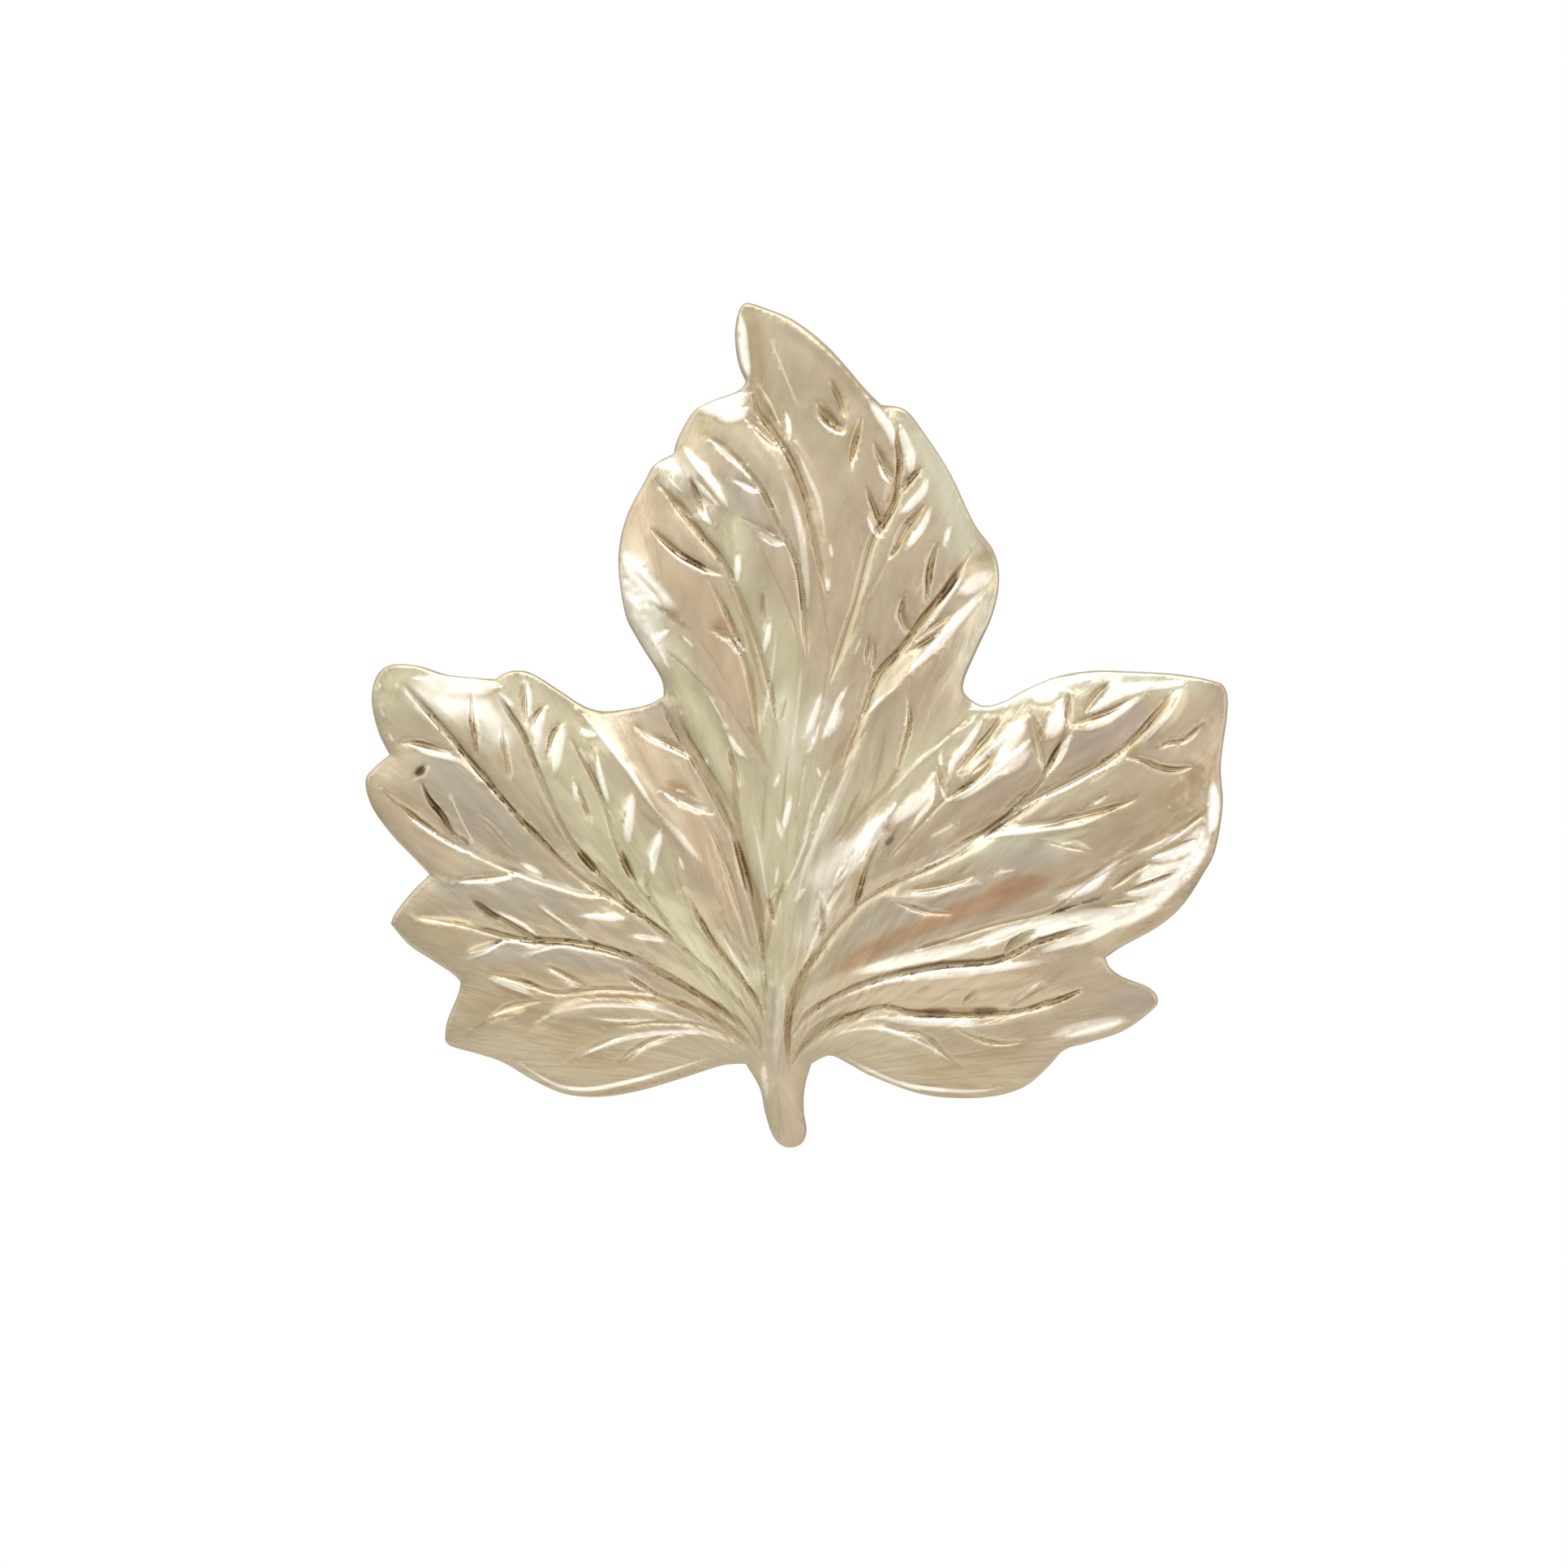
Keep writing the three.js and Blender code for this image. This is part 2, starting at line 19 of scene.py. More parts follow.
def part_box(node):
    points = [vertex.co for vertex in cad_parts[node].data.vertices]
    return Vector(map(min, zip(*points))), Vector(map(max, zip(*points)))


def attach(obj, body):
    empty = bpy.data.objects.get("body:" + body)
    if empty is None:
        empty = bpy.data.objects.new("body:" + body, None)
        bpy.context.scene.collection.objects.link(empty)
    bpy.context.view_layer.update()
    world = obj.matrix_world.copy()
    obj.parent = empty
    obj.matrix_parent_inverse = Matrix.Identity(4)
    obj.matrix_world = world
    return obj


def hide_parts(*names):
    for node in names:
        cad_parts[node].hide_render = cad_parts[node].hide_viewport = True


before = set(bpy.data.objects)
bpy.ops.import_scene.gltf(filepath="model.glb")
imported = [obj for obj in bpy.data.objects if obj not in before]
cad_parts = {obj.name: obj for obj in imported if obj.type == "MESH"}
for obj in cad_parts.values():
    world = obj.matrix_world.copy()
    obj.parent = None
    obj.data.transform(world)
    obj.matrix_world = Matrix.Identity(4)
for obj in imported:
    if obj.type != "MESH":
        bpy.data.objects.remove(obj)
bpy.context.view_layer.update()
print("pieces in the model:", ", ".join(sorted(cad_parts)))

# %% [markdown]
# ## Where things are
#
# The leaf is easiest to think of lying on a bench: x across it, y up it from the point where
# the veins meet the stem, and z towards the eye, all in millimetres. In the model it stands
# upright with its face towards -Y. The rivet of the hinge is a point that both know, so its
# box gives the step from one to the other.

# %% Bench millimetres to model metres
MM = 0.001
RIVET_ON_BENCH = np.array([-14.5, 15.4, -3.1])

rivet_low, rivet_high = (np.array(corner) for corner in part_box("hinge_rivet"))
rivet_centre = (rivet_low + rivet_high) / 2 / MM
BENCH_X = rivet_centre[0] - RIVET_ON_BENCH[0]
BENCH_Y = rivet_centre[2] - RIVET_ON_BENCH[1]
BENCH_Z = rivet_centre[1] + RIVET_ON_BENCH[2]


def in_model(points):
    """Bench points (x, y, z) in millimetres as model points in metres."""
    points = np.atleast_2d(points)
    return np.c_[points[:, 0] + BENCH_X, BENCH_Z - points[:, 2], points[:, 1] + BENCH_Y] * MM


print("the vein junction is at", in_model([0, 0, 0])[0].round(5))

# %% [markdown]
# ## The rim
#
# The edge of the leaf is a chain of smooth curves that meet at the corners of its teeth and
# notches. One closed curve could draw it, but its corners would come out soft. So each stretch
# is a curve of its own, which passes through a few points as a bent spline batten would.

# %% The rim's curves
RIM = {
    "tip_right": [(-1.79, 42.97), (-1, 42.75), (1, 41.9), (3, 40.3), (5, 38), (6, 37)],
    "crown_right": [
        (6, 37), (7.4, 36.7), (8.6, 35.2), (10, 33), (11.35, 30.15), (12.5, 28.5), (12.8, 26.8),
        (12.4, 24.8), (11.5, 22.8), (10.75, 21), (10.87, 20.2), (11.85, 19.6), (13, 19.85),
        (14.2, 20.5), (16, 21.25), (18, 21.6), (20, 21.6), (23, 21.44), (25.2, 21.05),
        (25.9, 20.65), (26.07, 19.4), (25.67, 16.2), (25.78, 13.9), (25.36, 11.3),
        (24.64, 9.85), (23.4, 8), (22, 6.8), (20, 5.7), (18.96, 5.03),
    ],
    "low_right": [
        (18.96, 5.03), (19.24, 4.45), (20, 3.9), (21.5, 3.3), (22.03, 2.6), (21.64, 1.92),
        (20, 0.77), (18, 0.1), (16.6, -0.32), (15.6, -1.35), (14.3, -2.44), (12.5, -3),
        (10.2, -3.1), (8, -2.78), (5.4, -1.8), (4.08, -1.08), (3, -0.62), (1.95, -1.1),
    ],
    "stem": [
        (1.95, -1.1), (1.58, -2.43), (1.52, -3.8), (1.68, -5.05), (1.3, -5.8), (0.46, -5.93),
        (-0.23, -5.36), (-0.7, -4.05), (-1.04, -2.5), (-1.85, -1.1),
    ],
    "low_left": [
        (-1.85, -1.1), (-3.2, -1.2), (-5.4, -1.9), (-7.7, -2.6), (-10, -3.02), (-12.2, -2.9),
        (-14.1, -2.1), (-15.8, -1.1), (-17.2, -0.6), (-18.9, -0.13), (-19.27, 0.27),
    ],
    "tooth_under": [(-19.27, 0.27), (-19.15, 1.3), (-18.5, 2.9), (-18.35, 3.6)],
    "tooth_left": [(-18.35, 3.6), (-18.77, 4.05), (-20, 4.87), (-21.33, 5.74), (-22.4, 6.97)],
    "tooth_over": [(-22.4, 6.97), (-22.15, 7.58), (-21.23, 8.76), (-20.13, 9.84)],
    "side_left": [
        (-20.13, 9.84), (-21, 10.74), (-22.35, 12.15), (-23.5, 13.77), (-23.87, 15.27),
        (-23.27, 16.1), (-22.46, 16.77),
    ],
    "corner_left": [
        (-22.46, 16.77), (-23.1, 18.04), (-23.5, 19.77), (-23.3, 21.15), (-22.5, 21.96),
        (-20.96, 21.96), (-19, 21.4), (-16.3, 21.15),
    ],
    "notch_left": [
        (-16.3, 21.15), (-15.5, 21.6), (-14.27, 21.5), (-12.4, 20.35), (-11.5, 19.76),
        (-10.7, 19.4), (-9.7, 19.3), (-7.73, 19.6), (-6.58, 20.13),
    ],
    "crown_left": [
        (-6.58, 20.13), (-6.75, 21.2), (-8.08, 23.4), (-8.83, 25), (-9.2, 28), (-8.77, 30.4),
        (-7.67, 32.6), (-7.1, 33.56), (-6, 34.2),
    ],
    "shoulder_left": [
        (-6, 34.2), (-5.77, 35.06), (-4.9, 36.6), (-3.9, 37.2), (-2.3, 37.83), (-1.85, 38.35),
    ],
    "tip_left": [(-1.85, 38.35), (-2.3, 39.5), (-2.48, 41.23), (-2.19, 42.67), (-1.79, 42.97)],
}
RIM_STEP = 0.2      # spacing of the finished rim's points
FINE = 24           # points worked out between two given ones


def smooth_line(points, step):
    """A curve through the points, as evenly spaced points about a step apart."""
    p = np.array(points, float)
    t = np.linspace(0, 1, FINE, endpoint=False)[:, None]
    fine = []
    for i in range(len(p) - 1):
        here, there = p[i], p[i + 1]
        start = (there - p[max(i - 1, 0)]) / 2
        end = (p[min(i + 2, len(p) - 1)] - here) / 2
        fine.append((2 * here - 2 * there + start + end) * t**3
                    + (3 * there - 3 * here - 2 * start - end) * t**2 + start * t + here)
    fine = np.vstack(fine + [p[-1:]])
    along = np.r_[0, np.cumsum(np.hypot(*np.diff(fine, axis=0).T))]
    stops = np.linspace(0, along[-1], max(2, round(along[-1] / step)) + 1)
    return np.c_[np.interp(stops, along, fine[:, 0]), np.interp(stops, along, fine[:, 1])]


rim = np.vstack([smooth_line(stretch, RIM_STEP)[:-1] for stretch in RIM.values()])
print("the rim has", len(rim), "points")

# %% [markdown]
# ## Distances to lines
#
# Everything on the face is a line of some width: a fold, a vein, a cut, the rim itself. So one
# helper measures how far each point is from a line, and how far along it.

# %% Measure points against a line


def beside(points, line):
    """For each point: its distance to the line, the length along it, and its side (+1 left)."""
    distance = np.full(len(points), 1e9)
    along = np.zeros(len(points))
    side = np.ones(len(points))
    walked = 0.0
    for a, b in zip(line[:-1], line[1:]):
        step = b - a
        length = math.hypot(*step)
        offset = points - a
        share = np.clip(offset @ step / length**2, 0, 1)
        gap = offset - share[:, None] * step
        gap = np.hypot(gap[:, 0], gap[:, 1])
        closer = gap < distance
        distance[closer] = gap[closer]
        along[closer] = walked + share[closer] * length
        turn = step[0] * offset[:, 1] - step[1] * offset[:, 0]
        side[closer] = np.where(turn[closer] < 0, -1.0, 1.0)
        walked += length
    return distance, along, side, walked


def inside_rim(points, loop):
    """True for the points inside the closed loop."""
    inside = np.zeros(len(points), bool)
    x, y = points.T
    for (ax, ay), (bx, by) in zip(loop, np.roll(loop, -1, axis=0)):
        spans = (ay > y) != (by > y)
        if spans.any():
            inside ^= spans & (x < ax + (y - ay) / (by - ay if by != ay else 1) * (bx - ax))
    return inside


# %% [markdown]
# ## The pressed shape
#
# A stamp first presses the sheet: the leaf swells out of its plane, its rim rolls down, its
# lobes bend back, and broad folds follow the main veins. These are the same folds as in the
# model's own leaf. They could be sculpted by hand. Worked out from a few lines, each keeps its
# place and can still be moved.

# %% Broad folds
SHEET = 0.9
DOME_HEIGHT, DOME_REACH = 2.2, 9.0
ROLL_DROP, ROLL_WIDTH = 0.08, 0.35
BOW, BOW_REACH = 1.0, 25.0
MIDDLE = (1.0, 16.0)
FOLD_END = 2.5      # a fold fades out over this length at each end
FOLD_STEP = 1.0

# (half width, rise, line)
FOLDS = [
    (1.9, -0.5, [(0, 5), (0.2, 10), (1, 16), (2, 22), (2.4, 28), (1.2, 34), (-0.9, 38.5)]),
    (1.2, -0.3, [(-0.8, 17), (-1.9, 25), (-4.4, 29.4), (-6.6, 32.4)]),
    (1.2, -0.3, [(3, 20), (4.5, 25.5), (6.3, 30.2), (7, 35)]),
    (1.0, -0.35, [(4, 16), (5.6, 21.2), (8.6, 24.9), (11, 28.2)]),
    (1.1, 0.4, [(5, 16.5), (6.7, 19), (8.7, 21.4), (10.6, 23.2), (12.3, 25.4)]),
    (1.2, 0.5, [(-8.4, 30.4), (-7, 27.3), (-5.9, 25.3), (-5, 22.4), (-4.2, 20)]),
    (0.9, 0.3, [(-5, 35), (-3.7, 33), (-2.6, 31)]),
    (1.0, 0.3, [(-0.6, 40.5), (2, 39.6), (4.4, 37), (6.4, 33.6)]),
    (1.1, -0.3, [(-1, 2), (-2.5, 12), (-4.6, 16.1), (-6.6, 19.4)]),
    (1.2, 0.5, [(-11, 19), (-8.2, 15.5), (-5.5, 12), (-3, 7)]),
    (1.4, -0.45, [(-21.4, 20.7), (-17.8, 16.4), (-12.5, 10.6), (-6.5, 6.3), (-1.4, 1.2)]),
    (1.3, 0.35, [(-19.5, 19.8), (-16.6, 17.3), (-14.2, 13.4), (-11, 10.4)]),
    (1.0, -0.3, [(-16, 20), (-14.1, 16.8), (-12.2, 12.3), (-8.3, 7.8)]),
    (1.2, -0.35, [(-22.6, 14.5), (-18.1, 11.3), (-14.1, 9.7), (-10, 8.6)]),
    (1.3, -0.4, [(-20.8, 7.4), (-15.2, 6.1), (-9.5, 5.4), (-4.8, 3.3), (-1.6, 0.8)]),
    (1.0, -0.3, [(-16.5, 4.2), (-12.7, 3.1), (-7, 2.9), (-2.2, 0.6)]),
    (1.0, -0.4, [(1.5, 1.4), (5.2, 3.6), (11, 4.8), (18.3, 7)]),
    (1.2, 0.55, [(4, 3.9), (10.2, 5.5), (15.5, 7.1), (21.5, 8.3), (24.2, 12)]),
    (1.1, -0.35, [(1.5, 0.1), (6, 2.2), (12.6, 1.8), (17.5, 3.2)]),
    (1.1, -0.3, [(1.2, 3.6), (4.2, 7.5), (10, 10.9), (14.5, 14), (22, 19)]),
    (1.6, 0.5, [(5, 10.6), (8.4, 13.5), (12.2, 16.2), (16.6, 18.4), (21, 20)]),
    (0.85, 0.7, [(0.1, 9), (-0.2, 4), (-0.15, 0), (0.2, -3), (0.7, -8)]),
]


def pressed_height(points, to_rim):
    """Height of the face before anything is cut into it."""
    dome = DOME_HEIGHT * (1 - np.exp(-to_rim / DOME_REACH))
    roll = ROLL_DROP * (1 - np.exp(-to_rim / ROLL_WIDTH))
    settle = 1 - np.exp(-to_rim / ROLL_WIDTH / 2)
    bow = BOW * ((points[:, 0] - MIDDLE[0]) ** 2 + (points[:, 1] - MIDDLE[1]) ** 2) / BOW_REACH**2
    folds = np.zeros(len(points))
    for half, rise, stops in FOLDS:
        line = smooth_line(stops, FOLD_STEP)
        gap = beside(points, line)[0]
        to_end = np.minimum(*(np.hypot(*(points - end).T) for end in (line[0], line[-1])))
        fade = np.clip(to_end / FOLD_END, 0, 1)
        folds += rise * fade * fade * (3 - 2 * fade) * np.exp(-((gap / half) ** 2))
    return dome + roll + settle * folds - bow


# %% [markdown]
# ## The graver's work
#
# Three kinds of line are worked into the pressed face. A vein is a long V-shaped groove that
# thins out towards its end. A barb is a short cut, pointed at both ends and widest in the
# middle, beside a vein. A crest is a narrow raised line, left between two cuts. A bump map
# could draw all three, but real grooves catch the light from every side and stay in the mesh.

# %% Veins
# (half width, depth, line), drawn from the rim towards the junction
VEINS = [
    # top lobe
    (0.30, 0.24, [(-1.56, 38), (-1.15, 36.6), (-0.46, 35.7), (0.7, 33.85), (1.5, 31.9), (2, 29.8),
                  (2.8, 26)]),
    (0.30, 0.24, [(-4, 35.05), (-2.4, 33.7), (-0.9, 32), (0.23, 29.7), (1.15, 27.6), (1.5, 25),
                  (1.7, 22.5)]),
    (0.34, 0.28, [(-7.04, 32.8), (-5.77, 31.1), (-4.4, 29.35), (-3, 27.6), (-1.85, 24.9), (-0.9, 22.3),
                  (-0.1, 18.9)]),
    (0.30, 0.20, [(-4.04, 26.9), (-3.2, 25.5), (-2.2, 22.95), (-1.5, 20.6), (-1.1, 17.6)]),
    (0.34, 0.28, [(7, 35.7), (6.94, 34.8), (7.06, 33.6), (6.77, 31.3), (5.4, 28.95), (4.46, 25.5),
                  (3, 21)]),
    (0.34, 0.26, [(11.27, 28.7), (10, 26.65), (8.6, 24.9), (7.2, 22.95), (5.6, 21.2), (4.7, 18.6),
                  (3.7, 16)]),
    # web between the top and left lobes
    (0.32, 0.24, [(-6.8, 19.84), (-5.4, 17.4), (-3.9, 14.9), (-2.5, 12), (-1.5, 8.4), (-0.9, 5.5),
                  (-0.75, 2)]),
    (0.24, 0.16, [(-6.2, 19.4), (-4.9, 17.3), (-3.3, 14.7), (-2.2, 12.6)]),
    (0.30, 0.16, [(-4.4, 13.3), (-3.5, 12), (-2.9, 10.2), (-2.2, 8), (-1.5, 5.6)]),
    # left lobe
    (0.36, 0.30, [(-21.65, 20.9), (-19.2, 18.15), (-16.9, 15.5), (-14.3, 12.5), (-11.2, 9.6), (-8.2, 7.8),
                  (-5.2, 5.4)]),
    (0.34, 0.28, [(-5.4, 9.2), (-4.8, 7.8), (-4, 6.5), (-2.8, 4.7), (-1.6, 3.2), (-0.9, 1.9)]),
    (0.32, 0.26, [(-16.3, 20.46), (-14.6, 17.8), (-13.7, 15.6), (-12.2, 12.3), (-10.2, 9.85), (-8.3, 7.8)]),
    (0.26, 0.20, [(-12.1, 18), (-10.8, 15.85), (-10, 13.9), (-9.2, 11.3), (-8, 9.2), (-6.2, 7)]),
    (0.32, 0.26, [(-22.9, 14.7), (-20.15, 12.5), (-18.1, 11.35), (-15, 10), (-11.7, 8.9), (-10, 8.6)]),
    (0.34, 0.28, [(-21, 7.4), (-18.1, 6.95), (-15.2, 6.15), (-12.2, 6), (-9.46, 5.46), (-6.6, 4.2),
                  (-4, 2.5), (-2, 0.9)]),
    (0.28, 0.22, [(-5.8, 5.9), (-4, 4.26), (-2.46, 2.65), (-1.3, 1.2), (-1, -0.1)]),
    (0.30, 0.24, [(-16.7, 4.2), (-14.5, 3.6), (-12.7, 3.04), (-9.9, 3.3), (-7, 2.95), (-4.3, 1.8),
                  (-1.3, -0.2)]),
    (0.28, 0.20, [(-10.85, 1.6), (-8.8, 1.25), (-7.15, 1.37), (-4.5, 1.2), (-2.6, 0.4), (-1, -0.74)]),
    # right lobes
    (0.32, 0.26, [(22.6, 20.2), (20.9, 18.1), (18.6, 16.2), (14.5, 14), (10, 10.9), (6.8, 9.4), (4.6, 8.1),
                  (2.5, 5.7), (1, 3.4), (0.62, 1.5), (0.6, -0.6)]),
    (0.30, 0.22, [(16.85, 18.1), (16, 16.9), (14.9, 14.9), (12.3, 12.6), (9.6, 11.2)]),
    (0.26, 0.18, [(12.6, 16.8), (11.65, 15.5), (10.4, 14.7), (9.46, 14.1), (8, 12.6), (6.2, 10.6)]),
    (0.28, 0.20, [(24.8, 13.5), (22.3, 11.7), (20.2, 10.8), (17.6, 9.2), (15.6, 7.8), (12.4, 7),
                  (7.9, 5.6)]),
    (0.34, 0.30, [(18.3, 7), (14.85, 5.9), (12.5, 4.94), (9.08, 4.6), (5.23, 3.65), (2, 2.03),
                  (0.92, 0.65)]),
    (0.30, 0.26, [(17.7, 3.27), (15.4, 2.3), (12.6, 1.8), (8.2, 1.85), (6, 2.2), (3.3, 1.26), (1.9, 0.26),
                  (0.92, -0.97)]),
]

# %% Barbs
# (half width, depth, line)
BARBS = [
    # top lobe, left of the middle
    (0.22, 0.18, [(-1.9, 36.3), (-0.46, 34.9), (0.23, 34.4)]),
    (0.26, 0.20, [(-2.5, 32.5), (-1.85, 32.3), (-1.04, 31.8)]),
    (0.24, 0.18, [(-1.27, 29.6), (-0.46, 29.1), (0.35, 28.8)]),
    (0.14, 0.12, [(-0.8, 29.75), (0, 29.35)]),
    (0.34, 0.26, [(-5.08, 32.6), (-4.6, 31.5), (-4.33, 30.5)]),
    (0.40, 0.30, [(-7.2, 29.7), (-6.46, 29), (-5.54, 28.25), (-4.4, 27.6), (-3.2, 27.1)]),
    (0.24, 0.18, [(-4, 24), (-2.4, 23.3), (-1.85, 22.7)]),
    (0.18, 0.14, [(-0.8, 26), (-0.8, 24)]),
    (0.22, 0.18, [(-8.2, 27.2), (-7, 25.9), (-6.4, 24.8)]),
    # top lobe, right of the middle
    (0.50, 0.34, [(2.3, 37.1), (2.85, 36.3), (3.5, 35.6), (3.9, 35.4)]),
    (0.28, 0.22, [(3.08, 38.35), (3.54, 37.3), (3.94, 36.15)]),
    (0.28, 0.22, [(4.87, 36.3), (4.58, 35.2), (4.29, 34), (4.23, 33)]),
    (0.34, 0.26, [(5.56, 34.6), (5.96, 33.85), (6.3, 33), (6.65, 32.6)]),
    (0.30, 0.24, [(8.3, 33.3), (7.58, 32.6), (7.1, 31.9)]),
    (0.36, 0.28, [(8.4, 31.1), (7.8, 30.4), (7.2, 29.6), (6.5, 28.1)]),
    (0.26, 0.20, [(5.15, 32.1), (5.5, 31.2), (5.85, 30.3), (6.2, 29.8)]),
    (0.32, 0.26, [(9.2, 28.95), (8.8, 27.6), (8.67, 26.1), (8.6, 25.5)]),
    (0.30, 0.24, [(7.46, 26.1), (7.1, 24.8), (7.5, 23.8)]),
    (0.24, 0.20, [(10, 24.9), (8.85, 24.1), (7.8, 23.2)]),
    (0.20, 0.16, [(9.3, 23.76), (8.4, 23.2), (7.6, 22.7)]),
    (0.22, 0.16, [(5.27, 23.65), (5.15, 22.6), (5.04, 21.9)]),
    (0.18, 0.14, [(5.67, 23.5), (5.56, 22.6), (5.6, 21.2)]),
    # web and middle
    (0.30, 0.22, [(-8.2, 18.45), (-7.15, 17.76), (-5.6, 17), (-5.1, 16.5)]),
    (0.34, 0.24, [(-6.7, 14.8), (-5.1, 13.9), (-3.7, 13.4)]),
    (0.30, 0.22, [(-2.9, 17.2), (-2.5, 16), (-2.2, 14.9)]),
    (0.30, 0.22, [(-2.4, 11.9), (-1.9, 10), (-1.4, 8.4)]),
    (0.26, 0.20, [(-0.1, 9), (-0.45, 8), (-0.2, 7.1)]),
    (0.30, 0.20, [(2.45, 8.8), (2.65, 7.6), (2.5, 6.1)]),
    (0.26, 0.20, [(5.1, 10.6), (4.8, 9.3), (4.45, 8.1)]),
    # left lobe
    (0.28, 0.22, [(-21.9, 17.46), (-20.96, 17.46), (-19.8, 17.2), (-18.8, 16.9)]),
    (0.32, 0.26, [(-17.7, 20.35), (-17.67, 19.1), (-17.5, 17.9), (-17.3, 16.65)]),
    (0.32, 0.24, [(-15.9, 18.4), (-15.7, 17), (-15.4, 15.4)]),
    (0.30, 0.24, [(-14.5, 20.9), (-14.6, 19.8), (-14.5, 18.4)]),
    (0.24, 0.20, [(-13.35, 19.65), (-13.9, 19.1), (-14.2, 18.2)]),
    (0.26, 0.22, [(-12.4, 18.6), (-13, 17.9), (-13.2, 16.8)]),
    (0.22, 0.18, [(-11.6, 15.2), (-11.1, 13.9), (-10.7, 12.9)]),
    (0.26, 0.20, [(-11.5, 11.2), (-10.9, 10.5), (-10.3, 9.9)]),
    (0.28, 0.20, [(-9, 11.4), (-8.7, 10.4), (-8.3, 9.5)]),
    (0.22, 0.16, [(-7.6, 10.3), (-7.6, 9.2), (-7.3, 8.3)]),
    (0.26, 0.20, [(-18.5, 9.45), (-16.9, 9.6), (-15.4, 9.75)]),
    (0.30, 0.26, [(-20.6, 15.3), (-20.15, 14.2), (-19.35, 13.3), (-18.8, 12.3), (-17.85, 11.6)]),
    (0.30, 0.14, [(-17.3, 13.3), (-16.5, 12.6), (-15.1, 11)]),
    (0.28, 0.24, [(-17.5, 8.35), (-16.6, 7.65), (-15.6, 7.1), (-14.5, 6.5), (-13.6, 6.1)]),
    (0.28, 0.22, [(-13.85, 8.1), (-12.7, 7.2), (-11.4, 6.4), (-10.3, 5.7)]),
    (0.24, 0.20, [(-17.9, 5.35), (-17, 5.7), (-15.9, 6.04)]),
    (0.26, 0.20, [(-13.4, 4.65), (-12.2, 4.1), (-10.85, 3.44)]),
    (0.24, 0.20, [(-8.9, 4.2), (-7.96, 3.6), (-7, 3)]),
    (0.26, 0.20, [(-16.6, 1.65), (-15.2, 2.35), (-13.6, 2.6)]),
    (0.28, 0.20, [(-12, -0.77), (-10.6, -0.13), (-9.46, 0.4), (-8.3, 0.6)]),
    (0.24, 0.18, [(-9.35, -1), (-8.4, -0.3), (-7.4, 0.27), (-6.35, 0.6), (-5.1, 0.73)]),
    # right lobes, lower
    (0.28, 0.22, [(13, 5.2), (13.35, 5.8), (14.04, 6.4), (14.96, 6.7)]),
    (0.24, 0.20, [(13.2, 2.2), (14.04, 2.9), (15.3, 3.7)]),
    (0.22, 0.18, [(14.3, 2), (15.4, 2.46), (16.5, 2.75), (17.7, 3.27)]),
    (0.24, 0.18, [(10.6, 2.35), (11, 2.8), (11.6, 3.27)]),
    (0.26, 0.20, [(10, 1.2), (10.8, 0.73), (12, 0.27), (13, 0.1), (14.3, 0.27)]),
    (0.26, 0.20, [(6, 1.1), (7, 0.85), (8.15, 0.73), (9.08, 0.15), (9.65, -0.54), (10.6, -1.2)]),
    # right lobes, upper
    (0.28, 0.22, [(10, 7.65), (8.4, 7.8), (6.65, 8.35)]),
    (0.26, 0.20, [(11.4, 9.9), (9.7, 9.3), (7.6, 8.95)]),
    (0.16, 0.14, [(12, 9.9), (13, 10)]),
    (0.26, 0.22, [(24.6, 18.6), (23.5, 17.6), (22.6, 17.45), (22, 17.1)]),
    (0.30, 0.24, [(24, 16.1), (23.07, 15.9), (22.15, 16), (21.57, 16.2), (21, 16.5), (20.1, 16.6)]),
    (0.20, 0.16, [(19, 14.56), (18, 13.9)]),
    (0.28, 0.22, [(20.85, 14.36), (19.7, 13.85), (17.1, 13.2), (15.6, 12.8), (13.5, 12.5)]),
    (0.22, 0.16, [(18, 11.2), (16.1, 11.6), (15.1, 11.9)]),
    (0.30, 0.24, [(14.65, 19.1), (15, 17.9), (15.2, 16.8), (15.46, 15.7)]),
    (0.30, 0.24, [(16.85, 20.2), (16.7, 19.1), (16.85, 18.15)]),
    (0.28, 0.22, [(19.15, 20.8), (18.35, 20.1), (17.65, 19.1)]),
    (0.28, 0.22, [(20.3, 19.9), (19.15, 19.3), (17.8, 18.85), (17, 18.5)]),
    (0.28, 0.22, [(12.8, 18.85), (12, 17.8), (11.1, 16.8), (10.15, 15.7)]),
    (0.22, 0.18, [(13.04, 17.46), (12.1, 16.5), (10.96, 15.6)]),
    (0.24, 0.18, [(9.2, 16.2), (9.46, 15), (9.6, 14.2)]),
    (0.24, 0.18, [(7.5, 20), (7.6, 18.5), (7.2, 17), (6.9, 15.9)]),
    (0.24, 0.18, [(24.3, 12), (23.3, 11.6), (22.3, 11.1)]),
    (0.26, 0.20, [(21.46, 10.46), (20.7, 10.15), (20, 9.65), (19.1, 9.03)]),
    (0.26, 0.20, [(23, 9.95), (21.8, 9.5), (20.7, 9.1), (20, 8.8)]),
    (0.20, 0.16, [(20.85, 8.3), (19.7, 8.2), (19, 8.1)]),
]

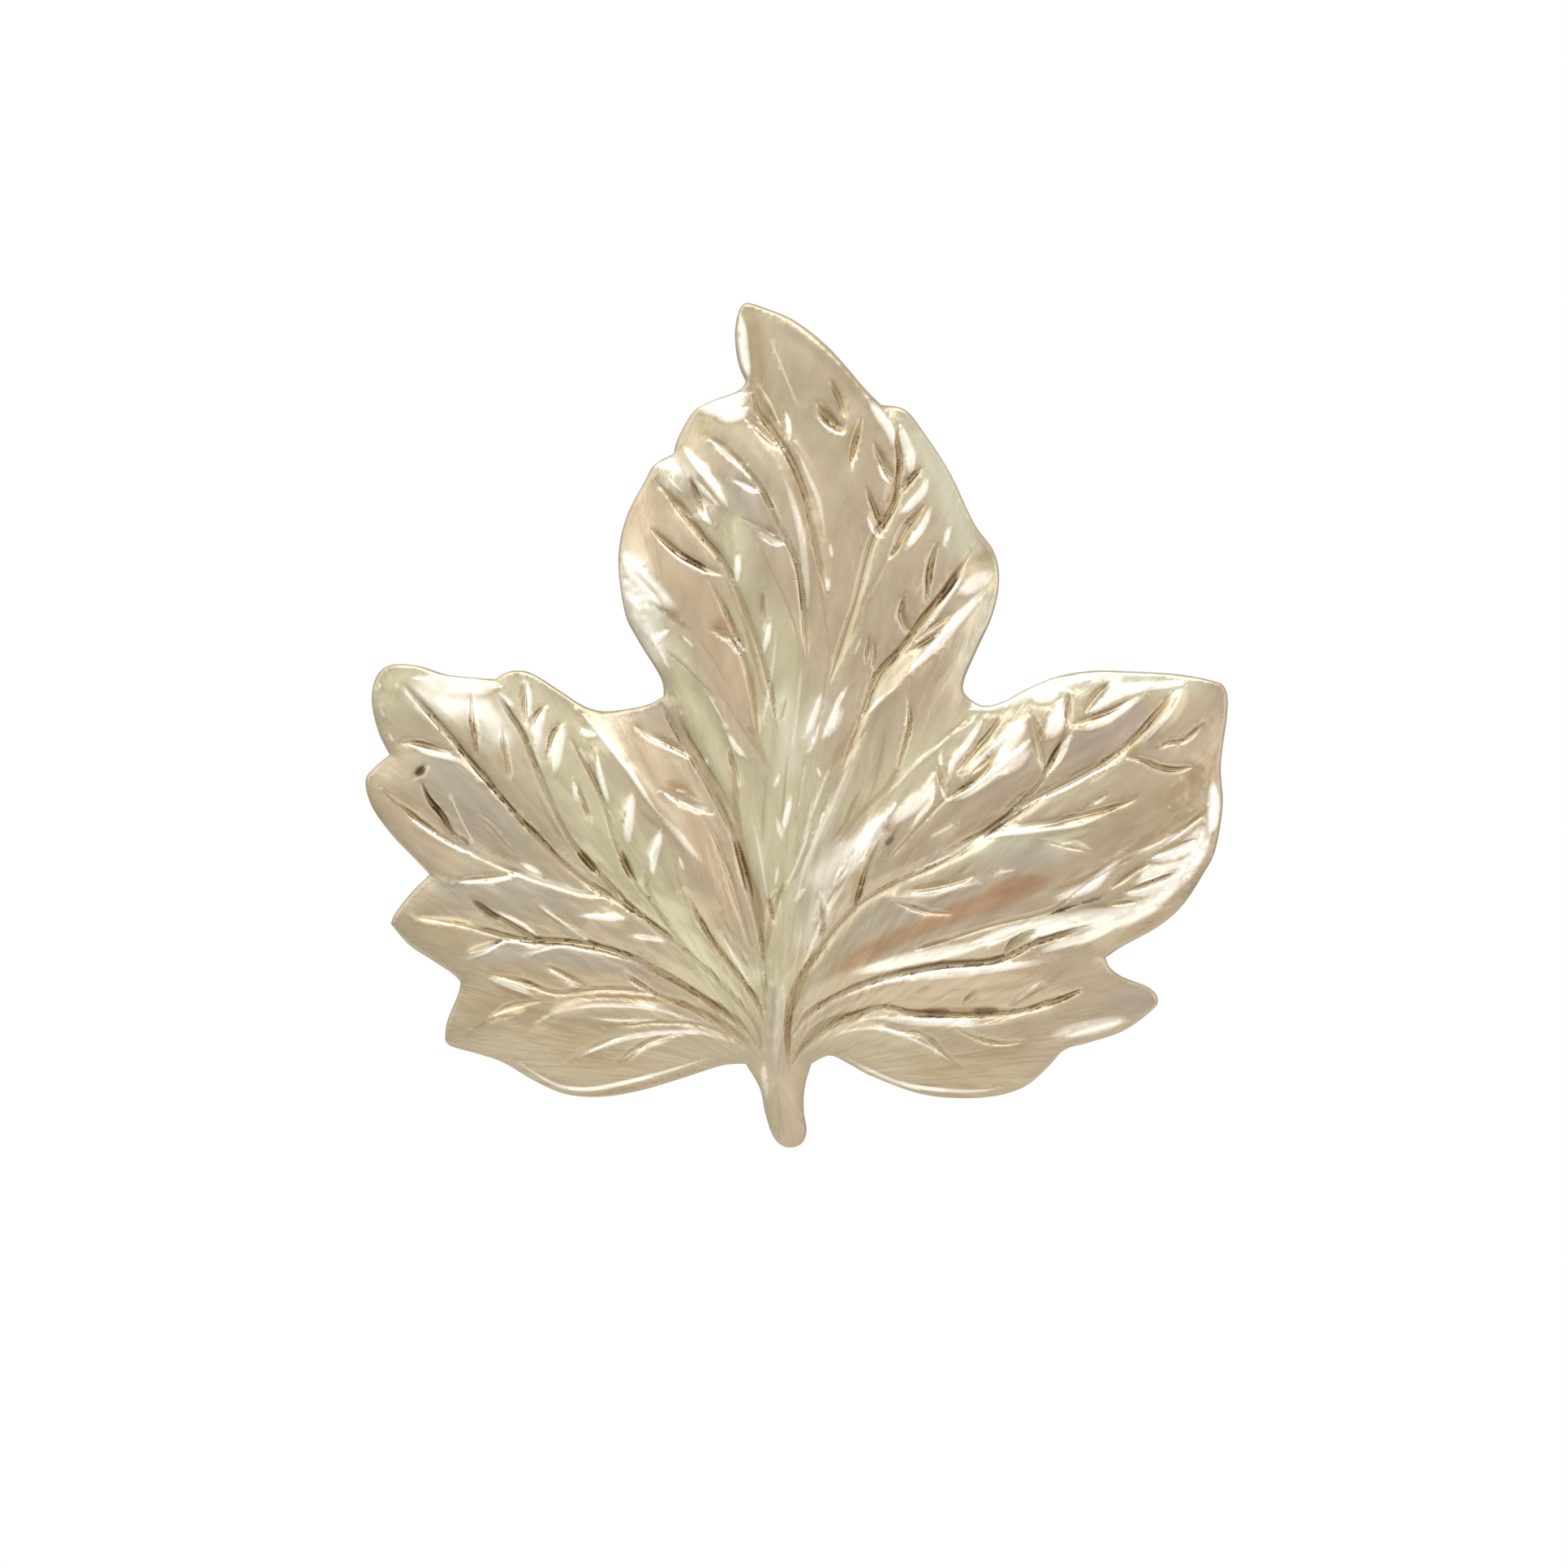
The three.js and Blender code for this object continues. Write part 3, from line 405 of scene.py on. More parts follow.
# %% Crests
# (half width, rise, line)
CRESTS = [
    (0.35, 0.16, [(-0.75, 37.8), (0.7, 34.9), (1.6, 33.3), (2.4, 31.1), (2.65, 29.9)]),
    (0.40, 0.18, [(-5.5, 34.4), (-4.6, 33.3), (-3.35, 31.6), (-2.77, 30.7)]),
    (0.40, 0.20, [(0, 42.1), (2, 40.7), (4, 38.8), (5.8, 36.5), (6.8, 34.8)]),
    (0.45, 0.22, [(11.96, 25.95), (10.7, 24.45), (9.5, 23.4), (7.46, 21.2), (5.4, 19.3), (4.2, 17.3)]),
    (0.45, 0.22, [(-5.5, 22.2), (-4.04, 20.4), (-2.77, 18), (-1.85, 16.6)]),
    (0.40, 0.20, [(-11.3, 19.4), (-9.1, 16.6), (-7.4, 14.4), (-5.5, 12), (-4, 9.5)]),
    (0.35, 0.18, [(-10.35, 17.1), (-10.2, 16.2), (-9.9, 15), (-9.65, 13.9)]),
    (0.35, 0.18, [(-8.3, 14.35), (-8.5, 13.1), (-8.4, 11.7)]),
    (0.30, 0.16, [(-6.7, 12), (-7.1, 11), (-7.2, 10)]),
    (0.35, 0.16, [(-14, 9.6), (-12.2, 8.9), (-10, 8.4)]),
    (0.30, 0.15, [(-11.25, 7.4), (-10, 7.3), (-8.5, 7.2)]),
    (0.35, 0.18, [(-14.1, 5.35), (-12.2, 5.63), (-10.6, 5.3), (-8.9, 4.8), (-7.15, 4.1)]),
    (0.30, 0.15, [(-14.1, 0.96), (-12, 2.2), (-9.46, 2.6), (-6, 1.9)]),
    (0.40, 0.20, [(1.5, 1.2), (3.4, 2.3), (7, 3.6), (11.4, 4.2), (15.4, 4.5)]),
    (0.40, 0.20, [(2.5, 0.26), (4.1, 0.9), (5.2, 0.95), (8, 0.4), (9.5, -0.65)]),
    (0.35, 0.16, [(6.1, 8.6), (7.9, 8.7), (10, 9.2), (11.4, 9.4)]),
    (0.35, 0.18, [(9.9, 14.1), (12.2, 15.6), (14.5, 17.35)]),
    (0.40, 0.18, [(4.4, 10.4), (5.9, 12.6), (7, 14)]),
    (0.40, 0.20, [(23.4, 20.8), (22.4, 18.9), (21.1, 17.7)]),
    (0.35, 0.16, [(14.1, 12), (16.1, 12.3), (18.9, 13)]),
]

print(len(VEINS), "veins,", len(BARBS), "barbs and", len(CRESTS), "crests")

# %% [markdown]
# ## Cutting the face
#
# Each line only changes the points near it, so the helper picks those out first. A cut also
# notes how deep it is at each point: dirt and tarnish stay down there, and the finish reads
# that note as an attribute.

# %% Work the lines into the face
WORK_STEP = 0.25     # spacing of the points along a worked line
VEIN_TAPER = 2.2     # a vein runs out to nothing over this length at its outer end
TROUGH_WIDTH = 2.4   # each cut lies in a soft trough this many times as wide
TROUGH_DEPTH = {"vein": 0.4, "barb": 0.25}
CUT_SPREAD = 0.8     # a cut is opened this much of its half width
STROKE_SPREAD = 1.25
FULL_DEPTH = 0.25    # a cut this deep holds all the tarnish it can
CUT_REACH, STROKE_REACH, TINT_REACH = 5, 2, 2.5     # how far a line is felt, in half widths
RIPPLE_RISE, RIPPLE_WAVE, RIPPLE_REACH = 0.03, 0.85, 1.2


def near(points, line, reach):
    """The indices of the points close enough to the line to be changed by it."""
    low, high = line.min(axis=0) - reach, line.max(axis=0) + reach
    return np.flatnonzero(((points > low) & (points < high)).all(axis=1))


def leaf_shape(share):
    """The width of a stroke along its length: pointed at both ends, widest in the middle."""
    return np.sin(np.pi * np.clip(share, 0.01, 0.99)) ** 0.6


def vein_shape(along, length):
    """The width of a vein along its length: it runs out to nothing at its outer end."""
    body = np.clip(along / VEIN_TAPER, 0, 1) ** 0.7
    return body * np.clip((length - along) / VEIN_TAPER + 0.35, 0, 1)


def cut_width(half, body):
    """The half width of a cut where it has this share of its full body."""
    return CUT_SPREAD * half * (0.5 + 0.7 * body)


def groove(gap, half):
    """A V with soft shoulders: 1 at its bottom, 0 from its half width on."""
    return np.clip(1 - gap / half, 0, 1) ** 1.4


def work_face(points, height, depth_note):
    """Adds every vein, barb and crest to the height, and notes the cuts."""
    for kind, strokes in (("vein", VEINS), ("barb", BARBS), ("crest", CRESTS)):
        for half, size, stops in strokes:
            line = smooth_line(stops, WORK_STEP)
            at = near(points, line, CUT_REACH * half)
            gap, along, _, length = beside(points[at], line)
            body = vein_shape(along, length) if kind == "vein" else leaf_shape(along / length)
            if kind == "crest":
                height[at] += size * body * np.exp(-((gap / half) ** 2))
                continue
            cut = groove(gap, cut_width(half, body))
            trough = np.exp(-((gap / (TROUGH_WIDTH * half)) ** 2))
            height[at] -= size * body * (cut + TROUGH_DEPTH[kind] * trough)
            depth_note[at] = np.maximum(depth_note[at], cut * body * size / FULL_DEPTH)


def crisp_strokes():
    """Every narrow stroke of tint, with how far its metal stands up or sinks."""
    for tint, rise in TINT_RISE.items():
        for half, strength, stops in PATINA_AND_PAINTED_LIGHT[tint]:
            if half < CRISP_UNDER:
                yield half, rise * strength, stops


def work_strokes(points, height):
    """Raises the metal under each bright stroke of tint, and sinks it under each dark one."""
    for half, rise, stops in crisp_strokes():
        line = smooth_line(stops, WORK_STEP)
        at = near(points, line, STROKE_REACH * half)
        gap, along, _, length = beside(points[at], line)
        width = np.maximum(STROKE_SPREAD * half * leaf_shape(along / length), 0.01)
        height[at] += rise * np.clip(1 - (gap / width) ** 2, 0, 1)


def ripple(points):
    """Low ridges beside each vein, where a blunter tool has followed it."""
    height = np.zeros(len(points))
    for number, (half, _, stops) in enumerate(VEINS):
        line = smooth_line(stops, WORK_STEP)
        at = near(points, line, 3 * RIPPLE_REACH)
        gap, along, side, length = beside(points[at], line)
        wave = RIPPLE_WAVE * (1 + 0.25 * math.sin(2.4 * number))
        body = vein_shape(along, length) * np.clip(along / 4, 0, 1)
        crest = np.cos(2 * np.pi * gap / wave + 0.5 * side)
        height[at] += RIPPLE_RISE * body * crest * np.exp(-gap / RIPPLE_REACH)
    return height


# %% [markdown]
# ## Tarnish and painted light
#
# Old silver is never one colour. A thin brown or pink bloom of tarnish sits where nothing rubs.
# Some tints are painted light: white and cream strokes are painted highlights on the flanks of
# cuts and on high places, green and mint ones are painted reflections of the room's greenish
# light, and many brown and black strokes are painted shade on the cuts' shaded walls and in
# creases. Each tint is laid on in strokes, the broad soft ones first, and kept as a colour for
# each point. Noise alone could stain the silver, but not in the places where a real one stains.
# The narrow strokes have clear edges, and the metal under them is raised or sunk a little as
# well.

# %% Strokes of tint
# white and cream are painted highlights, green and mint painted reflections, brown and black tarnish and
# painted shade
TINTS = {
    "tan": (0.48, 0.43, 0.34),
    "green": (0.6, 0.6, 0.45),
    "mint": (0.6, 0.63, 0.52),
    "pink": (0.55, 0.45, 0.35),
    "grey": (0.44, 0.4, 0.36),
    "olive": (0.42, 0.35, 0.23),
    "rose": (0.42, 0.28, 0.19),
    "cream": (0.88, 0.78, 0.58),
    "white": (0.92, 0.92, 0.88),
    "brown": (0.37, 0.295, 0.19),
    "black": (0.1, 0.072, 0.05),
}

# how far the metal stands up under a crisp stroke of each tint
TINT_RISE = {"white": 0.05, "cream": 0.05, "brown": -0.04, "black": -0.07}
CRISP_UNDER = 0.58   # a stroke narrower than this has a clear edge and pointed ends
CRISP = 2.2          # how quickly a crisp stroke reaches its full strength

# %% Broad tints: soft pink, rose, olive and grey tones, and green and mint ones that are painted reflections of the room's greenish light
# tint: strokes of (half width, strength, line)
BROAD_TINTS = {
    # painted reflections of the room's greenish light
    "green": [
        (1.9, 0.7, [(-13.5, 18.5), (-11, 14.5), (-8.5, 10.5), (-5, 6), (-2, 2.5)]),
        (0.9, 0.8, [(-6, 22.5), (-4.8, 20), (-3.4, 17), (-2.2, 14.5), (-1, 11)]),
        (1.5, 0.7, [(0.3, 24), (0.3, 15), (0.2, 10), (0, 4)]),
        (0.9, 0.6, [(-2.2, 30), (-2, 26), (-1.2, 22)]),
        (1.2, 0.5, [(-23, 20), (-20, 21.2), (-14, 20.8)]),
        (1.3, 0.5, [(4.5, 13), (7, 16), (10, 18.5)]),
    ],
    # painted reflections of the greenish room along the crowns and rims
    "mint": [
        (1.1, 0.9, [(8.3, 35.3), (9.5, 33), (10.3, 31), (10.6, 29)]),
        (0.8, 0.7, [(12.6, 27), (12, 24.5), (10.7, 22)]),
        (0.8, 0.9, [(12, 20), (15, 20.8), (19, 21.2), (24, 21)]),
        (0.7, 0.6, [(12, 11.3), (14.5, 11.6), (16, 11.3)]),
    ],
    "pink": [
        (1.3, 0.9, [(-7.9, 31.5), (-7, 28.5), (-5.2, 26.5), (-4, 24.5), (-3, 22.3), (-2.2, 20.5)]),
        (1.2, 0.7, [(-8.5, 18.5), (-6.5, 15.5), (-4.6, 12), (-3, 8)]),
        (1.2, 0.6, [(-22.5, 14), (-20.5, 12), (-19, 11)]),
        (0.8, 0.6, [(-16, 4.6), (-12, 4), (-8, 3.6)]),
        (0.9, 0.6, [(1.3, 33), (2.6, 30), (3, 26), (2.6, 23)]),
        (1.6, 0.5, [(5, 3), (9, 3.2), (15, 3.8)]),
    ],
    "grey": [
        (1.1, 0.8, [(-19.2, 16), (-17.3, 13.6), (-15.4, 12)]),
        (0.8, 0.8, [(-18.8, 9.1), (-16, 9), (-13, 8.5)]),
        (0.6, 0.8, [(-17.3, 5.2), (-14, 5.2), (-11, 5), (-8, 4.2)]),
        (0.7, 0.6, [(-9.8, 18.7), (-8.2, 19), (-6.9, 19.2)]),
        (0.6, 0.9, [(-2.6, 32.6), (-1.6, 31), (-1, 29.9), (0.1, 29)]),
        (0.7, 0.8, [(17.3, 17.2), (19, 18), (20.6, 19)]),
        (0.6, 0.7, [(5, 6.9), (7, 7.7), (9, 8.2)]),
        (0.8, 0.5, [(20.4, 2.6), (21.4, 2.6)]),
        (0.5, 0.5, [(-0.4, 4), (0, 1), (0.3, -2)]),
        (1.0, 0.5, [(9.8, 8.6), (12.5, 10.2), (15, 11)]),
    ],
    "olive": [
        (1.4, 0.6, [(-17.5, 2.6), (-14.2, 2), (-12, 0.4), (-9, -1.5)]),
        (1.3, 0.6, [(9, -1.4), (11.5, -1.4), (13.6, -0.8)]),
        (0.6, 0.8, [(-1.5, 41.4), (-1, 38.4), (0, 35.4)]),
        (0.5, 0.6, [(-5, 35.8), (-3.8, 35.4)]),
        (0.6, 0.5, [(-20.8, 6.9), (-18.5, 6.2)]),
        (1.4, 0.35, [(20.5, 12.6), (22.5, 14)]),
        # painted shade beside the right lobe's vein
        (0.7, 0.6, [(22.2, 14.3), (23.6, 15.2), (24.7, 16)]),
        (0.5, 0.7, [(4.6, 36), (4.1, 33.5)]),
    ],
    "rose": [
        (0.5, 0.75, [(2.2, 3.6), (5.5, 5.6), (10, 7.6)]),
        (0.12, 0.6, [(-16, -1), (-13, -2.65), (-11, -3), (-9, -2.65), (-6.4, -1.95), (-3.4, -0.95)]),
        (0.12, 0.6, [(3.4, -0.85), (5.2, -1.85), (7, -2.6), (9.1, -3), (11.7, -3.1), (13.7, -2.7)]),
        (0.57, 0.8, [(6.4, 6), (10.4, 7.8), (13, 8.6), (16.6, 9.8)]),
        (0.45, 0.9, [(11.5, 8.5), (13.5, 9.3), (15.8, 9.7)]),
        (0.5, 0.6, [(-3.6, 24.6), (-2.4, 23.7)]),
        (0.4, 0.6, [(-6.5, 15.2), (-4.9, 14.5)]),
    ],
}

# %% Painted highlights: white and cream strokes where a cut's flank or a high place catches the light
PAINTED_HIGHLIGHTS = {
    # painted highlights, in cream and white
    "cream": [
        (0.24, 1.0, [(-21.4, 7.5), (-20.3, 7.2), (-18.5, 7.1), (-17, 6.7)]),
        (0.12, 0.8, [(-18.1, 5.3), (-17.3, 5.7), (-16.3, 6)]),
        (0.3, 0.8, [(-17.2, 1.2), (-15.7, 1.8), (-14.3, 2.2)]),
        (0.6, 0.6, [(11.4, 27.2), (12, 26.8)]),
    ],
    "white": [
        (1.0, 0.8, [(-8.5, 27.4), (-7.8, 25.2), (-7, 23)]),
        (0.6, 0.6, [(-6.4, 33.5), (-5.5, 32.8)]),
        (0.65, 0.45, [(1.6, 6.2), (2.7, 8.6)]),
        (0.6, 0.35, [(0.2, 20), (0.8, 16)]),
        (0.7, 0.3, [(-14.6, 19.6), (-13.6, 17.2)]),
        # top lobe, left of the middle
        (0.24, 1.0, [(-2.2, 42.5), (-2, 41.4), (-1.9, 40.2), (-1.6, 38.3)]),
        (0.5, 1.0, [(-4.8, 36.8), (-3.2, 36.9), (-1.5, 37.6)]),
        (0.4, 1.0, [(-3.6, 36.2), (-2.4, 36.4), (-1.6, 36.7)]),
        (0.08, 0.5, [(-0.5, 41), (0.5, 38.5), (1.3, 36.6)]),
        (0.1, 0.6, [(-1.2, 38.3), (-0.4, 37), (0.2, 35.6)]),
        (0.15, 1.0, [(0.4, 36.7), (0.62, 35.9), (0.72, 34.7)]),
        (0.1, 0.6, [(-1.9, 36), (-1, 35.4), (-0.1, 34.6)]),
        (0.14, 0.5, [(1, 34.7), (1.7, 33), (2.4, 31.2), (2.8, 29)]),
        (0.2, 0.5, [(0.1, 33.2), (0.7, 31.8), (1.3, 29.6), (1.7, 26.6), (1.75, 24.8)]),
        (0.1, 0.9, [(-4.05, 34.9), (-3, 34.3), (-2.2, 33.4), (-1.3, 32.4)]),
        (0.12, 1.0, [(-2.8, 32.5), (-1.9, 32.3), (-1, 31.7)]),
        (0.1, 1.0, [(-1.4, 29.65), (-0.6, 29.25), (0.5, 28.7)]),
        (0.12, 0.5, [(-1, 32.7), (0.2, 30.1), (1, 27.4), (1.4, 24.6)]),
        (0.26, 1.0, [(-5.6, 34.7), (-4.7, 33.6), (-3.8, 32.4), (-2.7, 30.7)]),
        (0.14, 0.9, [(-5, 32.8), (-4.2, 31.9), (-3.3, 31)]),
        (0.3, 0.8, [(-7.2, 33.5), (-6, 33.3), (-5.4, 32.6)]),
        (0.12, 1.0, [(-7.1, 32.85), (-6.3, 31.9), (-5.6, 31), (-4.8, 30.2)]),
        (0.12, 0.7, [(-6.5, 32.9), (-5.4, 31.8)]),
        (0.2, 1.0, [(-4.45, 31.5), (-4.2, 30.5), (-3.7, 29.9)]),
        (0.09, 0.9, [(-7.4, 29.6), (-6, 28.3), (-5, 27.6), (-3.7, 26.95)]),
        (0.2, 1.0, [(-2.2, 28.4), (-2.3, 27.3), (-2.45, 26.4)]),
        (0.17, 1.0, [(-0.35, 24.5), (-0.6, 23.4), (-0.85, 22.4)]),
        (0.1, 0.9, [(-2.6, 23.6), (-1.8, 22.6)]),
        (0.08, 0.8, [(-3.7, 23.8), (-2.7, 23), (-2, 22.3)]),
        (0.55, 1.0, [(-9, 28.7), (-8.2, 27.2), (-7, 26), (-5.7, 25)]),
        (0.5, 1.0, [(-8.6, 27), (-8.1, 25.8), (-7.4, 24.9)]),
        (0.3, 1.0, [(-8.4, 25.6), (-7.8, 24.4), (-7, 23.4)]),
        (0.16, 0.9, [(-7.6, 23.9), (-6.9, 22.9), (-6.2, 21.6)]),
        (0.16, 0.9, [(-7.2, 23.1), (-6.1, 24)]),
        (0.1, 0.9, [(-5.5, 23.6), (-4.8, 22.9)]),
        # top lobe, right of the middle
        (0.1, 0.8, [(2.1, 36.4), (2.9, 35.5), (3.9, 35.1)]),
        (0.1, 0.7, [(4.6, 34.2), (4.2, 33.2)]),
        (0.3, 1.0, [(5.2, 37.3), (5.9, 36.3), (6.5, 35.4), (6.65, 34.4)]),
        (0.3, 1.0, [(7, 35.9), (7.4, 34.8), (7.7, 33.8), (7.6, 32.8)]),
        (0.15, 1.0, [(5.8, 33.6), (6.1, 32.8), (6.5, 32.3)]),
        (0.26, 1.0, [(8.6, 32.9), (8.4, 32), (7.8, 31.3), (7.1, 30.5)]),
        (0.13, 1.0, [(5.1, 30.5), (5.5, 29.6), (6, 29.1)]),
        (0.22, 1.0, [(8.9, 31.2), (8.4, 30), (7.8, 29.1), (7.3, 28.4)]),
        (0.12, 1.0, [(3, 28.9), (3.15, 28)]),
        (0.16, 0.8, [(2.9, 26.9), (2.9, 26.1)]),
        (0.14, 1.0, [(9.9, 30), (9.55, 28.7)]),
        (0.1, 0.6, [(6.2, 27.6), (5.3, 25.7)]),
        (0.12, 0.9, [(11.1, 27.5), (10.2, 26.3), (9.5, 25.3), (8.5, 24), (7.7, 23.2)]),
        (0.45, 1.0, [(12.4, 27.3), (11.3, 26.6), (10.4, 25.9)]),
        (0.3, 1.0, [(12.3, 26.6), (10.8, 25), (9.4, 23.4), (7.4, 21.3)]),
        (0.2, 1.0, [(9.6, 23), (8.3, 22.3), (7.4, 21.2)]),
        (0.1, 0.7, [(4.8, 23.5), (4.4, 22.4)]),
        (0.17, 1.0, [(4.2, 20.9), (3.6, 20), (3.3, 19.2), (3.1, 18.4), (2.7, 17.6)]),
        (0.14, 0.7, [(7.3, 21), (5.9, 19.9), (5, 19), (4.5, 18.3), (4, 17.3)]),
        # middle
        (0.1, 0.6, [(0, 24), (-0.4, 21), (-0.9, 18)]),
        (0.12, 0.5, [(1.4, 22), (1.1, 19), (0.9, 17)]),
        (0.1, 0.5, [(3.4, 17), (2.2, 14), (1.4, 11.6)]),
        (0.12, 0.6, [(4.6, 17.2), (3.2, 14), (1.7, 10.6), (0.8, 7.4)]),
        (0.1, 0.5, [(5.7, 12.6), (3.6, 9), (1.5, 5)]),
        (0.1, 0.6, [(-1.4, 13), (-0.9, 10.5), (-0.5, 8)]),
        (0.1, 0.5, [(3.6, 9.5), (2.4, 7), (1.2, 3.8)]),
        (0.12, 0.6, [(-3.4, 6.8), (-2.2, 4.6), (-1.3, 2.8)]),
        (0.2, 1.0, [(2.6, 20.4), (2.2, 19.2), (1.6, 17.6)]),
        (0.6, 0.5, [(2.4, 19.4), (1.8, 17.8)]),
        (0.12, 0.9, [(2.4, 18.3), (1.8, 16.8)]),
        (0.12, 0.8, [(2.25, 16.1), (2.5, 15.4)]),
        (0.12, 0.9, [(-0.2, 14.8), (0.15, 15.7)]),
        (0.16, 1.0, [(0.85, 14.6), (0.55, 13.3), (0.3, 12.1)]),
        (0.14, 0.8, [(-0.1, 13.3), (0.3, 11.7)]),
        (0.12, 0.9, [(0.05, 10.4), (-0.15, 9.2)]),
        (0.1, 0.9, [(1.95, 12.7), (1.3, 11), (0.9, 10), (0.45, 9)]),
        (0.15, 0.7, [(1.6, 9.2), (1, 8.3)]),
        (0.35, 0.6, [(2.6, 17.6), (3.8, 19.6)]),
        (0.7, 0.9, [(2.4, 9.7), (3.9, 11.1), (5.6, 12.5)]),
        (0.35, 0.3, [(4.6, 16.6), (3.2, 13.9), (1.7, 10.8), (0.6, 8)]),
        (0.35, 0.9, [(3.1, 9.2), (4, 10.4), (5, 12), (6.2, 13.2)]),
        (0.12, 0.7, [(2.3, 8.6), (2.1, 7.4)]),
        (0.1, 0.7, [(-0.85, 5), (-0.8, 3.9)]),
        (0.17, 1.0, [(-2.9, 18.1), (-2.4, 17.2), (-1.7, 16.5)]),
        (0.07, 0.8, [(-4, 20.2), (-3.4, 19.2), (-2.8, 18)]),
        (0.14, 0.8, [(-4.2, 16.5), (-4, 16.1)]),
        # left lobe
        (0.55, 1.0, [(-21, 21.1), (-18.6, 20.7), (-16, 20.6)]),
        (0.75, 1.0, [(-20.6, 20.3), (-19.2, 19.8), (-17.8, 19.6), (-16.7, 19), (-15.9, 17.9)]),
        (0.18, 0.8, [(-16.2, 20.4), (-15.1, 19.4)]),
        (0.1, 0.9, [(-21.9, 20.7), (-20.9, 19.7), (-19.5, 18.1)]),
        (0.15, 0.9, [(-21.6, 17.5), (-20.3, 16.9), (-19, 16.6), (-18.3, 16.4), (-17.6, 15.8),
                     (-16.7, 14.9)]),
        (0.12, 0.6, [(-17, 15.2), (-15.5, 13.7), (-14.2, 12.5)]),
        (0.12, 0.8, [(-23.1, 21), (-22.9, 20.6)]),
        (0.1, 0.7, [(-23, 19.5), (-22.7, 18.9)]),
        (0.12, 0.7, [(-22.5, 18.1), (-22.2, 17.5)]),
        (0.2, 1.0, [(-14.6, 21.3), (-14.35, 20.2), (-14.3, 18.7)]),
        (0.26, 0.9, [(-13.3, 19.5), (-13.8, 18.2), (-13.7, 17)]),
        (0.3, 1.0, [(-12.2, 18.5), (-12.6, 17.2), (-12.8, 15.5)]),
        (0.13, 0.9, [(-11.7, 15.4), (-11.55, 14)]),
        (0.2, 0.9, [(-11.4, 18.1), (-10.4, 17.8)]),
        (0.12, 0.9, [(-11.4, 17.1), (-10.9, 16.2)]),
        (0.12, 1.0, [(-22.2, 14.1), (-20.9, 12.9), (-19.3, 11.8), (-18, 11.2), (-16.6, 10.7),
                     (-15.2, 10.1)]),
        (0.16, 1.0, [(-14.9, 10.6), (-14.1, 10.2), (-13.4, 9.8)]),
        (0.14, 1.0, [(-19.3, 9.4), (-17.3, 9.45), (-15.8, 9.6), (-15, 9.85), (-13.8, 9.6),
                     (-12.6, 9.2), (-11, 8.8),
                     (-9.7, 8.3)]),
        (0.14, 1.0, [(-16.3, 7.85), (-15.2, 7.3), (-14.5, 6.9), (-13.7, 6.2)]),
        (0.1, 0.9, [(-13.9, 8.3), (-12.6, 7.3), (-11.5, 6.5), (-10.3, 5.7)]),
        (0.1, 0.9, [(-18.2, 4.9), (-16.9, 5.3), (-16, 5.85), (-15.2, 6), (-14.4, 5.8), (-13.5, 5.7)]),
        (0.12, 0.8, [(-14.5, 5.1), (-13.5, 5.5), (-12.5, 5.7), (-11.3, 5.5), (-9.5, 5)]),
        (0.16, 1.0, [(-11.6, 7.5), (-10, 7.4), (-8.5, 7.25)]),
        (0.17, 1.0, [(-8.6, 6.4), (-7.5, 6.25), (-6.3, 6.05)]),
        (0.12, 0.9, [(-9.7, 9), (-9, 8.4), (-8.2, 7.7)]),
        (0.14, 0.8, [(-14.4, 0.8), (-13, 1.8), (-11.1, 2.3), (-9, 2.35), (-6.9, 2.1), (-3.8, 1)]),
        (0.16, 0.9, [(-12.2, -0.8), (-10.3, -0.1), (-8.6, 0.5), (-6.4, 0.75), (-4.3, 0.7), (-2.4, 0)]),
        (0.12, 0.8, [(-8.6, -0.9), (-7.5, -0.1), (-6, 0.4)]),
        (0.16, 0.7, [(-17, 4), (-15.6, 3.5), (-13.7, 2.8)]),
        (0.1, 0.7, [(-13.2, 4.4), (-11.3, 3.3)]),
        (0.1, 0.7, [(-8.7, 3.8), (-7, 2.8)]),
        (0.12, 0.7, [(-10.6, 1.6), (-8.7, 1.45), (-6.8, 1.5)]),
        (0.14, 0.9, [(-15.4, -0.7), (-13, -2.2), (-11.1, -2.55), (-9, -2.2), (-6.4, -1.5), (-3.6, -0.6)]),
        (0.08, 0.7, [(-19, 14.7), (-18, 12.6), (-17.4, 11.5)]),
        # web between the lobes
        (0.16, 1.0, [(-11.6, 19.4), (-10.3, 18.1), (-9.3, 16.9), (-8, 15.1), (-7.2, 13.9), (-6.3, 12.8)]),
        (0.2, 0.6, [(-6.8, 13.4), (-5.6, 12.1), (-4.3, 10.5)]),
        (0.2, 1.0, [(-10.35, 16.9), (-10.2, 15.6), (-9.6, 13.8)]),
        (0.3, 1.0, [(-8.2, 14.6), (-8.5, 13.2), (-8.6, 11.5)]),
        (0.25, 1.0, [(-6.6, 12.4), (-7.05, 11), (-7.2, 9.8)]),
        (0.12, 0.8, [(-5.65, 11), (-5.35, 10.1)]),
        (0.12, 0.9, [(-7, 22.9), (-6.2, 21.7)]),
        (0.13, 0.8, [(-8, 18.4), (-6.4, 17.2), (-5, 16.4)]),
        (0.13, 0.9, [(-6.7, 14.6), (-5.3, 13.9), (-3.6, 13.5)]),
        # right lobes
        (0.1, 0.6, [(7.5, 19.5), (7.4, 17.8), (7, 16.6)]),
        (0.13, 0.7, [(11.8, 19.5), (11, 18.5), (9.9, 17.9), (9, 17.1), (7.9, 16.2), (7, 15.2), (6, 14.1)]),
        (0.5, 1.0, [(11.2, 19.3), (13, 19.9), (15, 20.6), (18, 21.1)]),
        (0.13, 0.9, [(9.4, 16.9), (9.3, 16)]),
